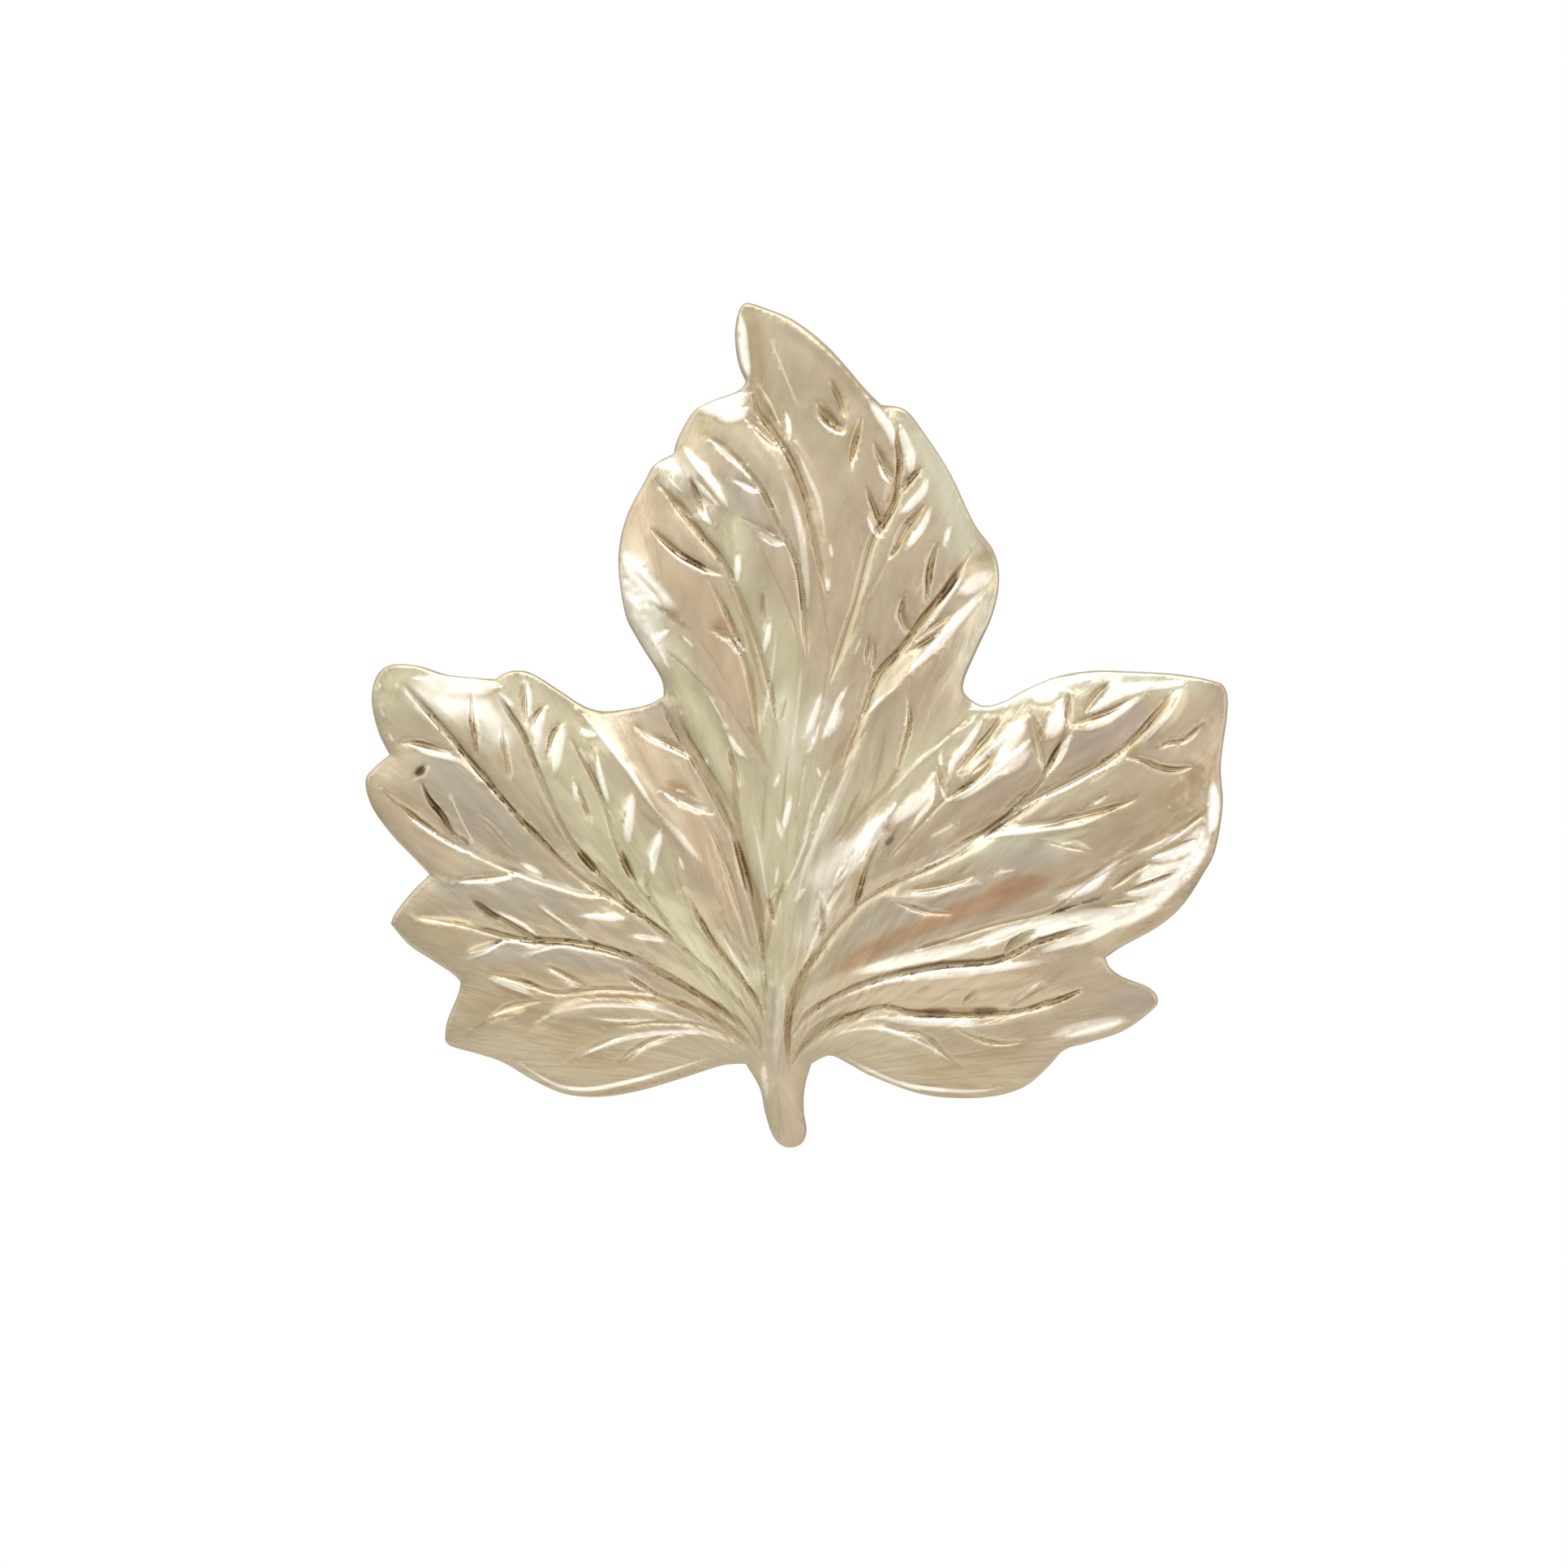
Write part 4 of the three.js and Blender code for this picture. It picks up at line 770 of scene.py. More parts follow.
        (0.22, 1.0, [(11.9, 18.9), (10.6, 17), (10, 16.2), (9.85, 15.1)]),
        (0.12, 0.9, [(13.1, 17.8), (12, 16.9), (11.2, 16), (10.3, 15.2)]),
        (0.5, 1.0, [(12.2, 16.2), (13.3, 17.6), (14.4, 18.9)]),
        (0.26, 1.0, [(14.7, 17.6), (13, 16.2), (11.8, 15.2), (10.8, 14.5), (9.9, 14)]),
        (0.4, 1.0, [(12.4, 15.6), (13.6, 16.3), (14.5, 17.1)]),
        (0.5, 1.0, [(15.5, 17.6), (16, 18.6), (16.5, 20)]),
        (0.3, 0.9, [(14.8, 19.8), (16.3, 20.3)]),
        (0.13, 1.0, [(17, 18.3), (16.5, 17), (16, 16.2), (15.3, 15.4)]),
        (0.22, 1.0, [(21.3, 20.3), (20.2, 19.6), (19.2, 18.9), (18.2, 18.4), (17.1, 18.1)]),
        (0.22, 1.0, [(21, 20.3), (20, 20.3), (18.9, 19.8), (17.8, 19)]),
        (0.24, 1.0, [(23.5, 20.8), (21.5, 20.7), (20, 20.5), (18.6, 19.9)]),
        (0.13, 0.8, [(23.6, 20.9), (22.8, 19.5), (22.1, 18.6), (21.3, 17.7), (20.8, 17.3)]),
        (0.12, 0.8, [(20.2, 16.4), (18.4, 15.8), (16.6, 14.8), (14.6, 14), (12.6, 13.1)]),
        (0.13, 1.0, [(19.4, 13.5), (17.5, 12.75), (15.8, 12.5), (14.2, 12.3), (12.2, 12.1),
                     (11, 11.6), (10, 11),
                     (8.5, 10.3), (6.6, 9.2)]),
        (0.12, 0.9, [(16, 12.9), (14.4, 12.6), (12.6, 12.5)]),
        (0.1, 0.7, [(18, 11.35), (17, 11.8), (16, 11.4)]),
        (0.1, 0.9, [(12.3, 9.95), (13.7, 10.15)]),
        (0.12, 1.0, [(12, 9.5), (10, 9.1), (8.9, 8.75), (7.3, 8.65), (6, 8.6)]),
        (0.12, 0.9, [(10.2, 12.8), (8.7, 12)]),
        (0.45, 1.0, [(9, 15.6), (8.3, 14.4), (7.1, 13.4), (6.4, 12.6)]),
        (0.15, 1.0, [(8.8, 15.6), (8.8, 14.2), (8, 13.1), (7.5, 12.3)]),
        (0.14, 1.0, [(7, 14.1), (6, 13), (5.3, 11.9), (4.9, 11), (4.4, 10.2)]),
        (0.15, 1.0, [(4, 10.6), (3.5, 9.7), (3.1, 9)]),
        (0.1, 0.8, [(9.3, 15), (9.7, 14)]),
        (0.15, 1.0, [(24.9, 13.3), (23, 12.1), (21.5, 11.4), (20.1, 10.75)]),
        (0.35, 1.0, [(24.7, 12.8), (23.3, 11.3), (21.3, 10.6)]),
        (0.3, 1.0, [(23.6, 10.6), (22, 10.1), (20.4, 9.2)]),
        (0.3, 1.0, [(15.6, 8.4), (17, 8.8), (18.2, 9.3), (19, 10.2), (20, 10.8)]),
        (0.5, 1.0, [(20.9, 9.6), (22.2, 10.2)]),
        (0.3, 1.0, [(19.8, 8.7), (21.4, 9), (23, 9.8)]),
        (0.57, 1.0, [(12, 6), (15, 6.8), (17.8, 7.2), (20.4, 7.6), (22.4, 8.9), (24, 11)]),
        (0.4, 1.0, [(11, 5.8), (13, 6.4), (15.6, 7.1)]),
        (0.5, 1.0, [(21.6, 8.4), (23.3, 9.8), (24.4, 11.4), (25, 13)]),
        (0.35, 1.0, [(25, 12), (25.2, 13.6), (25.1, 15.4)]),
        (0.14, 0.9, [(15.3, 6.95), (14, 6.7), (12.6, 6), (11.8, 5.5)]),
        (0.12, 1.0, [(17.2, 7.05), (15, 6.4), (14.2, 6)]),
        (0.3, 1.0, [(20.6, 7.6), (18.2, 6.4), (16.5, 5.9), (14.8, 5.3)]),
        (0.4, 1.0, [(4, 4.1), (7, 4.9), (10, 5.5), (12.4, 6.1)]),
        (0.3, 1.0, [(2.5, 2.2), (4.5, 3.3), (7, 4), (10.5, 4.3), (13.5, 4.6), (16, 5)]),
        (0.12, 0.8, [(2.4, 0.1), (4.2, 0.9), (6.3, 0.9), (8.6, 0), (10.2, -1.1)]),
        (0.14, 0.8, [(4.2, 1.2), (5.7, 1.6), (8.4, 1.45), (11.2, 1.2), (14, 1.4)]),
        (0.13, 0.8, [(13.6, 2.5), (15.2, 3.7)]),
        (0.13, 0.9, [(3.6, -0.5), (5.3, -1.4), (7, -2.15), (9.1, -2.55), (11.6, -2.65), (13.4, -2.3)]),
        (0.2, 0.9, [(16.4, 0.4), (18.3, 1), (20.3, 1.5)]),
        (0.3, 0.25, [(0.25, 4.5), (0.05, 1.5), (-0.2, -1.5)]),
        (0.2, 0.4, [(-0.8, -0.8), (-0.75, -2), (-0.6, -3.2)]),
        (0.25, 0.6, [(5.8, 1.6), (8, 1.4), (12, 1.3)]),
        (0.4, 0.6, [(15.6, 0.6), (18, 1), (20.4, 1.6)]),
    ],
}

# %% Tarnish and painted shade: dark strokes of tarnish in the cuts, and painted shade on their shaded walls and in creases
TARNISH_AND_PAINTED_SHADE = {
    # tarnish, and painted shade on the cuts' shaded walls and in creases
    "brown": [
        # broad darker patches
        (0.8, 0.2, [(-10.6, 18.9), (-9.4, 18.4), (-8, 18.4)]),
        (0.8, 0.15, [(-8.6, 30.9), (-8, 29.4), (-8.2, 28.4)]),
        # stem and lower lobes
        (0.18, 1.0, [(0.7, -1.9), (0.62, -0.6), (0.62, 1.2), (1.4, 3.6), (2.5, 5.6)]),
        (0.17, 0.9, [(0.7, -1.4), (1.5, 0.2), (2.8, 1.4), (5.2, 2)]),
        (0.15, 0.8, [(-0.7, 1.2), (-1.2, 2.5), (-2.1, 4)]),
        (0.17, 0.9, [(-0.7, -0.7), (-2.2, 1.4), (-4.3, 2.8), (-6.4, 3.9), (-8.3, 4.8)]),
        (0.16, 0.9, [(-0.9, -0.3), (-3.2, 1.4), (-5.2, 2.3), (-7.2, 2.7), (-9, 2.8), (-11.4, 2.8),
                     (-13.4, 2.7)]),
        (0.16, 0.8, [(-16.8, 3.6), (-15.4, 3.1), (-13.6, 2.5)]),
        (0.14, 0.8, [(-17.9, 0.7), (-16.5, 1.5), (-14.6, 1.9)]),
        (0.1, 0.7, [(-13.3, 4.7), (-11.4, 3.6)]),
        (0.1, 0.7, [(-8.9, 4.1), (-7.1, 3)]),
        (0.1, 0.6, [(-10.7, 1.3), (-8.8, 1.15), (-6.8, 1.2)]),
        (0.32, 0.9, [(7.6, 2), (9.4, 1.95), (11.6, 1.95), (13.8, 2.1)]),
        (0.16, 0.6, [(7.8, 3), (8.9, 3.5)]),
        (0.16, 0.6, [(10.7, 2.5), (11.5, 3.4)]),
        (0.15, 0.7, [(13.4, 2.2), (15.4, 3.5)]),
        (0.2, 0.5, [(15.4, 2.1), (17.8, 3.3)]),
        # top lobe
        (0.33, 0.8, [(2.2, 37.2), (3, 36.1), (4, 35.5)]),
        (0.33, 0.7, [(2.9, 38.5), (3.6, 37), (3.95, 35.6)]),
        (0.2, 0.7, [(4.9, 36.4), (4.7, 35.3), (4.3, 34.5), (4.2, 33)]),
        (0.2, 0.8, [(6.9, 35.9), (6.9, 34.5), (7, 33.4), (6.8, 32.4)]),
        (0.17, 0.9, [(5.5, 34.8), (6, 34.1), (6.4, 33.4), (6.9, 32.6)]),
        (0.17, 0.9, [(8.4, 33.5), (7.7, 32.7), (7.2, 31.9)]),
        (0.33, 0.8, [(6.9, 32.9), (6.6, 31.5), (6.2, 30.4), (5.8, 29.6)]),
        (0.17, 0.8, [(5, 32.5), (5.4, 31.3), (5.8, 30.4), (6.2, 29.7)]),
        (0.24, 0.9, [(8.6, 31.3), (7.9, 30.3), (7.3, 29.2), (6.3, 28)]),
        (0.26, 0.5, [(6.5, 28.4), (5.6, 26.6), (5, 25.4), (4.4, 24), (3.8, 22.6)]),
        (0.2, 0.8, [(9.4, 29.2), (9, 28), (8.7, 27), (8.6, 25.6)]),
        (0.15, 0.8, [(7.3, 26.5), (7.2, 25.2), (7.6, 24), (8, 23.6)]),
        (0.22, 0.9, [(11.5, 29), (10.6, 28), (10, 26.9), (9.2, 25.6), (8.5, 24.7), (7.6, 23.6), (6.8, 22.6),
                     (6, 21.5), (5.2, 20.1)]),
        (0.35, 0.5, [(12.6, 28.6), (11.4, 27.9)]),
        (0.15, 0.9, [(10.4, 25.2), (9.4, 24), (8.4, 23.2), (7.1, 22.4)]),
        (0.14, 0.7, [(5.35, 23.9), (5.15, 22.8), (5.1, 21.8)]),
        (0.1, 0.7, [(5.6, 23.6), (5.6, 22.2)]),
        (0.33, 0.8, [(7.1, 22.5), (6.1, 21.6), (5.3, 20.2)]),
        (0.14, 0.6, [(5.1, 18.2), (4.4, 17.3), (3.6, 16.3)]),
        (0.13, 0.8, [(-2, 36.5), (-1, 36), (-0.3, 35.2), (0.4, 34.4)]),
        (0.14, 0.5, [(-1.3, 38.2), (-0.8, 37), (-0.2, 36.1), (0.4, 35)]),
        (0.28, 0.5, [(0.3, 35), (0.9, 33.4), (1.5, 31), (1.8, 29)]),
        (0.12, 0.5, [(1.6, 31), (2.1, 28.5), (2.6, 25.5), (3, 22.6)]),
        (0.14, 0.9, [(-4.1, 35.2), (-3.2, 34.7), (-2.4, 34), (-1.7, 33.4)]),
        (0.13, 0.6, [(-1.7, 33.2), (-0.6, 31.4), (0, 30.2), (0.5, 29.2), (1, 27.6), (1.4, 25.4),
                     (1.5, 23)]),
        (0.12, 0.8, [(-2.4, 30.5), (-1, 29.9), (0, 29.2), (0.7, 28.8)]),
        (0.1, 0.6, [(-1.2, 29.1), (-0.2, 27), (0.5, 25.5), (1, 24), (1.3, 22.6)]),
        (0.19, 0.9, [(-7.1, 32.7), (-6.2, 31.7), (-5.4, 31), (-4.7, 30.2)]),
        (0.12, 0.9, [(-5.1, 32.9), (-4.75, 31.8), (-4.4, 31), (-4.3, 30.4)]),
        (0.16, 0.7, [(-5, 30.5), (-4.2, 29.3), (-3.5, 28.4), (-3.2, 27.3)]),
        (0.2, 0.8, [(-7.3, 29.8), (-6.5, 29.1), (-5.8, 28.5), (-5, 28), (-4.1, 27.4)]),
        (0.1, 0.6, [(-4.1, 27), (-3.3, 25.6), (-2.6, 24.4), (-2, 23), (-1.6, 21.6)]),
        (0.15, 0.6, [(-3.3, 27.4), (-2.3, 25.5), (-1.8, 24), (-1.4, 22.5), (-0.9, 20.6)]),
        (0.15, 0.7, [(-0.8, 26.2), (-0.95, 24.7)]),
        (0.13, 0.8, [(-3.9, 24.2), (-2.9, 23.7), (-2.3, 23.1)]),
        (0.22, 0.7, [(-7.2, 25.4), (-6, 24.7), (-5, 23.8)]),
        (0.08, 0.7, [(-6.7, 23), (-5.5, 22), (-4.3, 20.8), (-3.4, 19.9)]),
        (0.1, 0.5, [(-4.9, 23.8), (-3.8, 22.4), (-2.9, 20.8)]),
        # middle
        (0.14, 0.45, [(6.2, 18.6), (5.9, 16.4), (5.2, 14)]),
        (0.1, 0.5, [(3, 14.6), (2, 12), (1, 9.4)]),
        (0.1, 0.5, [(0.6, 17), (0.4, 14.6), (0.2, 12.8)]),
        (0.1, 0.45, [(-0.6, 16), (-0.8, 13.6), (-0.9, 11.4)]),
        (0.08, 0.5, [(1.6, 17), (1.2, 14.4), (0.9, 12.4)]),
        (0.08, 0.5, [(4.6, 12), (3.2, 9), (1.8, 6)]),
        (0.1, 0.5, [(-0.4, 21.5), (-0.2, 19.4), (0.1, 17.6)]),
        (0.08, 0.45, [(2.9, 22), (2.6, 20), (2, 17.4)]),
        (0.1, 0.5, [(-3.5, 8.2), (-2.5, 6.2), (-1.4, 4)]),
        (0.45, 0.5, [(4.9, 14.4), (4.6, 13), (3.5, 11.6)]),
        (0.6, 0.18, [(-5.7, 20.2), (-4.2, 16.7), (-2.7, 13.5), (-1.6, 9.7), (-0.8, 5.9)]),
        (0.3, 0.5, [(-1.8, 23), (-1.4, 20.1), (-1.1, 17.3), (0, 15.2)]),
        (0.2, 0.6, [(-2.9, 17.4), (-2.5, 15.4), (-2.3, 13.1), (-1.8, 10.8), (-1.2, 8.6)]),
        (0.3, 0.5, [(5.9, 21.5), (5.2, 19.6), (4.2, 17.8), (2.4, 15.2)]),
        (0.18, 0.6, [(7.5, 20.3), (7.5, 18), (6.6, 15.4), (4.8, 13.4), (3.2, 11.4)]),
        (0.2, 0.7, [(0.3, 9.5), (-0.3, 7.4), (-0.7, 5.2)]),
        (0.3, 0.6, [(6.1, 12.8), (6.3, 12.3)]),
        (0.25, 0.6, [(4.8, 10.2), (4.2, 8)]),
        (0.22, 0.7, [(3.1, 6.1), (2, 4.9), (1.2, 3.5), (0.7, 1.5)]),
        (0.13, 0.7, [(2.4, 8.7), (2.6, 7), (2.4, 6)]),
        (0.22, 0.9, [(-2.5, 12), (-1.9, 10.4), (-1.3, 9), (-0.95, 7.5), (-0.85, 5)]),
        (0.16, 0.8, [(-0.55, 8.8), (-0.25, 7.2)]),
        (0.12, 0.7, [(0.4, 9.6), (0, 8.1)]),
        (0.12, 0.6, [(0.55, 20.1), (0.2, 18.7)]),
        (0.08, 0.5, [(-1.15, 22.2), (-1, 20.8), (-0.4, 19.8)]),
        (0.14, 0.7, [(-1.75, 18.4), (-1.5, 17.9)]),
        (0.14, 0.5, [(-2.95, 17.2), (-2.5, 15.5), (-2.05, 13.9)]),
        (0.1, 0.6, [(-6.8, 19.9), (-5.6, 17.3), (-5, 16), (-4.4, 14.5)]),
        (0.14, 0.7, [(-6.1, 20.2), (-5.2, 18), (-4.4, 16.5), (-3.4, 14.5), (-2.4, 12.2)]),
        (0.08, 0.5, [(-3.5, 20.7), (-2.3, 18.7), (-1, 16.7)]),
        (0.1, 0.5, [(-4.4, 13.3), (-3.3, 11.4), (-2.6, 9.8), (-2, 8.2)]),
        # web between the lobes
        (0.17, 1.0, [(-11.4, 11.3), (-10.9, 10.6), (-10.2, 9.8)]),
        (0.24, 0.9, [(-9.1, 11.6), (-8.8, 10.8), (-8.1, 9.4)]),
        (0.08, 0.7, [(-8.5, 14), (-8.95, 12.6)]),
        (0.16, 0.5, [(-8.1, 13.7), (-7.3, 13), (-6.3, 12.1)]),
        (0.1, 0.8, [(-10.8, 17.5), (-10.35, 16.2)]),
        (0.09, 0.8, [(-12.1, 18.1), (-11.4, 16.8), (-10.6, 15.3), (-9.9, 13.7)]),
        (0.08, 0.7, [(-11.25, 14.1), (-10.7, 12.8)]),
        (0.15, 0.9, [(-5.3, 9.3), (-4.7, 7.9), (-3.9, 6.3), (-3, 5.1), (-2.1, 4)]),
        (0.08, 0.6, [(-6, 10.9), (-5.6, 9.5), (-5.1, 8.3)]),
        (0.1, 0.6, [(-7.6, 10.6), (-7.3, 9), (-6.6, 7.4), (-5.7, 6.2), (-3.9, 4.2)]),
        (0.1, 0.7, [(-10.4, 10), (-8.9, 8.2), (-7.5, 7.3), (-6.2, 6.4)]),
        (0.12, 0.7, [(-7, 17.9), (-5.4, 17.1)]),
        (0.17, 0.8, [(-6.4, 15), (-5.2, 14.7), (-4.5, 14.1)]),
        # left lobe
        (0.22, 0.5, [(-21.6, 20.9), (-20.8, 20.1), (-19.6, 18.8)]),
        (0.12, 0.9, [(-19.5, 18.5), (-18.4, 17.2), (-17.4, 16), (-16.4, 14.9), (-15, 13.3),
                     (-13.6, 12), (-12, 10.4)]),
        (0.14, 0.9, [(-17.8, 19.2), (-17.6, 18), (-17.2, 16.4)]),
        (0.12, 0.9, [(-16, 20.3), (-15.2, 18.9), (-14.7, 18.1), (-14.2, 16.8), (-13.7, 15.6)]),
        (0.1, 0.6, [(-14.1, 15.2), (-13.2, 13.3), (-12.2, 11.8), (-10.6, 10.2)]),
        (0.2, 0.6, [(-16, 18), (-15.7, 16.5), (-15.3, 15.1)]),
        (0.1, 0.9, [(-14.65, 21), (-14.8, 19.9), (-14.7, 18.8)]),
        (0.11, 0.9, [(-13.4, 19.7), (-14, 19.1), (-14.4, 18.5)]),
        (0.12, 0.9, [(-12.5, 18.8), (-13.1, 17.7), (-13.3, 16.4)]),
        (0.18, 0.6, [(-21.6, 17.7), (-20, 17.3), (-19, 17)]),
        (0.1, 0.8, [(-22.9, 14.8), (-22, 13.8)]),
        (0.17, 0.8, [(-22.3, 14.1), (-21, 13.2), (-19.7, 12.3)]),
        (0.3, 0.3, [(-17.4, 13.4), (-16.4, 12.2), (-14.8, 10.5)]),
        (0.08, 0.8, [(-18.8, 9.55), (-17, 9.7), (-15.2, 9.85)]),
        (0.17, 0.7, [(-16.1, 7.5), (-14.8, 6.7), (-13.7, 6)]),
        (0.1, 0.8, [(-14.1, 6.9), (-12.8, 6.4)]),
        (0.12, 0.8, [(-13.9, 8), (-12.4, 6.8)]),
        (0.12, 0.8, [(-17.3, 6.9), (-15, 6.3), (-13, 6), (-11, 6), (-9.5, 5.6), (-7.5, 5), (-5.6, 4.3)]),
        (0.2, 0.5, [(-14.9, 13), (-13.6, 12.2), (-12.5, 11.2)]),
        (0.2, 0.5, [(-17, 4.6), (-15.4, 4), (-13.8, 3.4)]),
        (0.2, 0.4, [(-12.5, 4.4), (-10.5, 3.4)]),
        # right lobes
        (0.14, 0.7, [(7.6, 20.1), (7.65, 18.8), (7.5, 17.8), (7.2, 16.8), (6.9, 15.7)]),
        (0.1, 0.7, [(11.1, 19.1), (9.8, 17.9), (8.7, 16.9)]),
        (0.16, 0.8, [(12.9, 19), (12, 17.9), (11.2, 16.8), (10.1, 15.3)]),
        (0.17, 0.9, [(13.1, 17.5), (12.3, 16.5), (11.5, 15.6), (10.5, 14.8), (9.7, 14.2)]),
        (0.17, 0.6, [(14.6, 19.3), (14.55, 18), (14.9, 16.6)]),
        (0.13, 0.7, [(14.7, 19), (15.3, 17.8), (15.4, 16.8)]),
        (0.17, 0.6, [(16.8, 20.5), (16.6, 19.4), (16.6, 18.3)]),
        (0.17, 1.0, [(16.6, 18.9), (16.4, 17.9), (16, 17.1), (15.3, 15.7)]),
        (0.19, 0.9, [(19.3, 21), (18.6, 20.6), (18, 20), (17.5, 19)]),
        (0.17, 0.8, [(20.4, 20), (19.6, 19.6), (18.9, 19.2), (18, 18.8), (16.9, 18.5)]),
        (0.22, 0.9, [(23, 20.5), (22.4, 19.8), (21.8, 19), (21.2, 18.3), (20.4, 17.5), (19.8, 16.9)]),
        (0.11, 0.8, [(20.4, 17.2), (19, 16.6), (17.5, 15.9), (16, 15.1), (14.6, 14.5), (13.2, 13.9)]),
        (0.4, 0.6, [(20, 16.8), (20.9, 17)]),
        (0.14, 0.8, [(23.7, 17.7), (22.7, 17.5), (21.9, 17.2), (21.2, 17)]),
        (0.07, 0.6, [(24.9, 18.7), (24, 18.1), (23.4, 17.7)]),
        (0.15, 0.9, [(24.2, 16.05), (22.8, 16), (22, 16.1), (21.2, 16.4), (20.1, 16.7)]),
        (0.5, 0.5, [(25.4, 17.3), (24.7, 15.9), (23.6, 15), (22.3, 14.4)]),
        (0.35, 0.5, [(24.6, 14.9), (23.4, 14), (22.3, 13.5)]),
        (0.09, 0.8, [(19.1, 14.7), (18, 14), (16.9, 13.3), (15, 13), (12.8, 12.6)]),
        (0.14, 0.9, [(21, 14.5), (19.8, 14), (18.6, 13.4), (17.2, 13)]),
        (0.14, 0.8, [(14.8, 15), (13.8, 14.4), (12.9, 13.5)]),
        (0.3, 0.5, [(13.2, 13.5), (11.6, 12.8), (10, 12)]),
        (0.19, 0.8, [(11.4, 10.75), (10.6, 10.1), (9.9, 9.6), (8.9, 9.3), (7.4, 9)]),
        (0.14, 0.7, [(7.1, 12.9), (6.5, 12), (6.1, 11.4)]),
        (0.14, 1.0, [(6, 12.2), (5.2, 10.6), (4.8, 9.3), (4.45, 8)]),
        (0.17, 0.8, [(4.9, 15.1), (4.2, 13.6), (3.8, 12.7), (3.1, 11.7)]),
        (0.26, 0.5, [(24.7, 13.9), (22.6, 12.8), (21, 11.7), (19.6, 11)]),
        (0.17, 0.7, [(19.8, 11.1), (18.5, 10.1), (17, 9.4), (15.2, 8.8)]),
        (0.22, 0.7, [(24.9, 13.9), (24.2, 13.1), (23.4, 12.5), (22.4, 12.1)]),
        (0.2, 0.7, [(24.4, 12.15), (23.5, 11.7), (22.5, 11.3), (21.6, 10.95)]),
        (0.2, 0.9, [(21.5, 10.6), (20.6, 10.2), (19.8, 9.6), (19, 8.95)]),
        (0.2, 0.8, [(23.2, 10.05), (21.8, 9.5), (20.8, 9.1), (19.7, 8.7)]),
        (0.15, 0.7, [(21, 8.4), (19.7, 8.25), (19, 8.1), (17, 8)]),
        (0.18, 0.8, [(15.1, 6.85), (14.2, 6.4), (13.6, 6), (12.9, 5.2)]),
        (0.12, 0.8, [(18.6, 7.15), (17, 6.7), (15.5, 6.1), (13.8, 5.6)]),
        (0.4, 0.5, [(22.8, 8), (21, 6.9), (19.4, 5.9)]),
        (0.25, 0.7, [(2, 2), (5.2, 3.7), (9, 4.7), (12.5, 5), (14.6, 5.6)]),
        (0.3, 0.6, [(6, 2.2), (8, 1.9), (13.5, 2.1)]),
    ],
    "black": [
        (0.28, 1.0, [(-20.3, 16.1), (-20.9, 15.5)]),
        (0.12, 0.9, [(-20.6, 15.4), (-20.2, 14.4), (-19.4, 13.3), (-18.9, 12.4), (-18.4, 11.8)]),
        (0.14, 0.8, [(-20.3, 14.6), (-19.3, 13.2)]),
        (0.1, 0.7, [(-18.3, 12.1), (-17.7, 11.5)]),
        (0.24, 0.8, [(-17.7, 8.5), (-16.9, 7.9), (-16, 7.2)]),
        (0.1, 0.8, [(-16.4, 5.8), (-15.8, 6.1)]),
        (0.1, 0.8, [(-5.4, 28.2), (-4.7, 27.8), (-4.1, 27.4)]),
        (0.13, 0.8, [(10.5, 27.4), (9.9, 26.4), (9.2, 25.5)]),
        (0.1, 0.7, [(7.1, 29), (6.4, 28.1)]),
        (0.1, 0.8, [(11.4, 15.3), (10.3, 14.6)]),
        (0.12, 0.8, [(16.4, 17.7), (16, 17), (15.4, 16)]),
        (0.13, 0.6, [(4.85, 9.2), (4.45, 8.1)]),
        (0.1, 1.0, [(17.4, 8.2), (16.2, 7.8), (15.4, 7.5)]),
        (0.05, 0.8, [(18.7, 8.6), (17.2, 8.1)]),
        (0.2, 0.6, [(6.1, 11.5), (6.7, 12.1)]),
        (0.3, 0.6, [(8.4, 1.9), (10, 1.95)]),
        (0.3, 0.7, [(11.1, 1.95), (12.8, 2)]),
        (0.2, 0.5, [(7.9, 5.6), (10.2, 6.15)]),
    ],
}

# %% Lay the tints
# the tints hold tarnish together with painted highlights, painted shade and painted reflections
PATINA_AND_PAINTED_LIGHT = BROAD_TINTS | PAINTED_HIGHLIGHTS | TARNISH_AND_PAINTED_SHADE
print("strokes of tint:", {tint: len(strokes) for tint, strokes in PATINA_AND_PAINTED_LIGHT.items()})


def patina_and_painted_light(points):
    """The tint of each point, after every stroke."""
    colour = np.tile(np.array(TINTS["tan"]), (len(points), 1))
    for tint, strokes in PATINA_AND_PAINTED_LIGHT.items():
        for half, strength, stops in strokes:
            line = smooth_line(stops, WORK_STEP)
            at = near(points, line, TINT_REACH * half)
            gap, along, _, length = beside(points[at], line)
            if half < CRISP_UNDER:
                body = leaf_shape(along / length)
                width = STROKE_SPREAD * half * body
                share = np.clip(CRISP * (1 - gap / np.maximum(width, 0.01)), 0, 1)
                share *= np.clip(2 * body - 0.5, 0, 1)      # fades at both tips
            else:
                share = np.exp(-((gap / half) ** 2))
            colour[at] += strength * share[:, None] * (np.array(TINTS[tint]) - colour[at])
    return colour


# %% [markdown]
# ## The leaf's skin
#
# The face is a fine triangle mesh: rows of points along every cut, an even lattice between
# them, the rim's points outside, and Blender's own constrained triangulation of them all. A
# plain grid would have to be many times finer to keep the cuts sharp. The back is coarser, and
# is flat on two lands where the findings are soldered. A few rings round the edge between them.

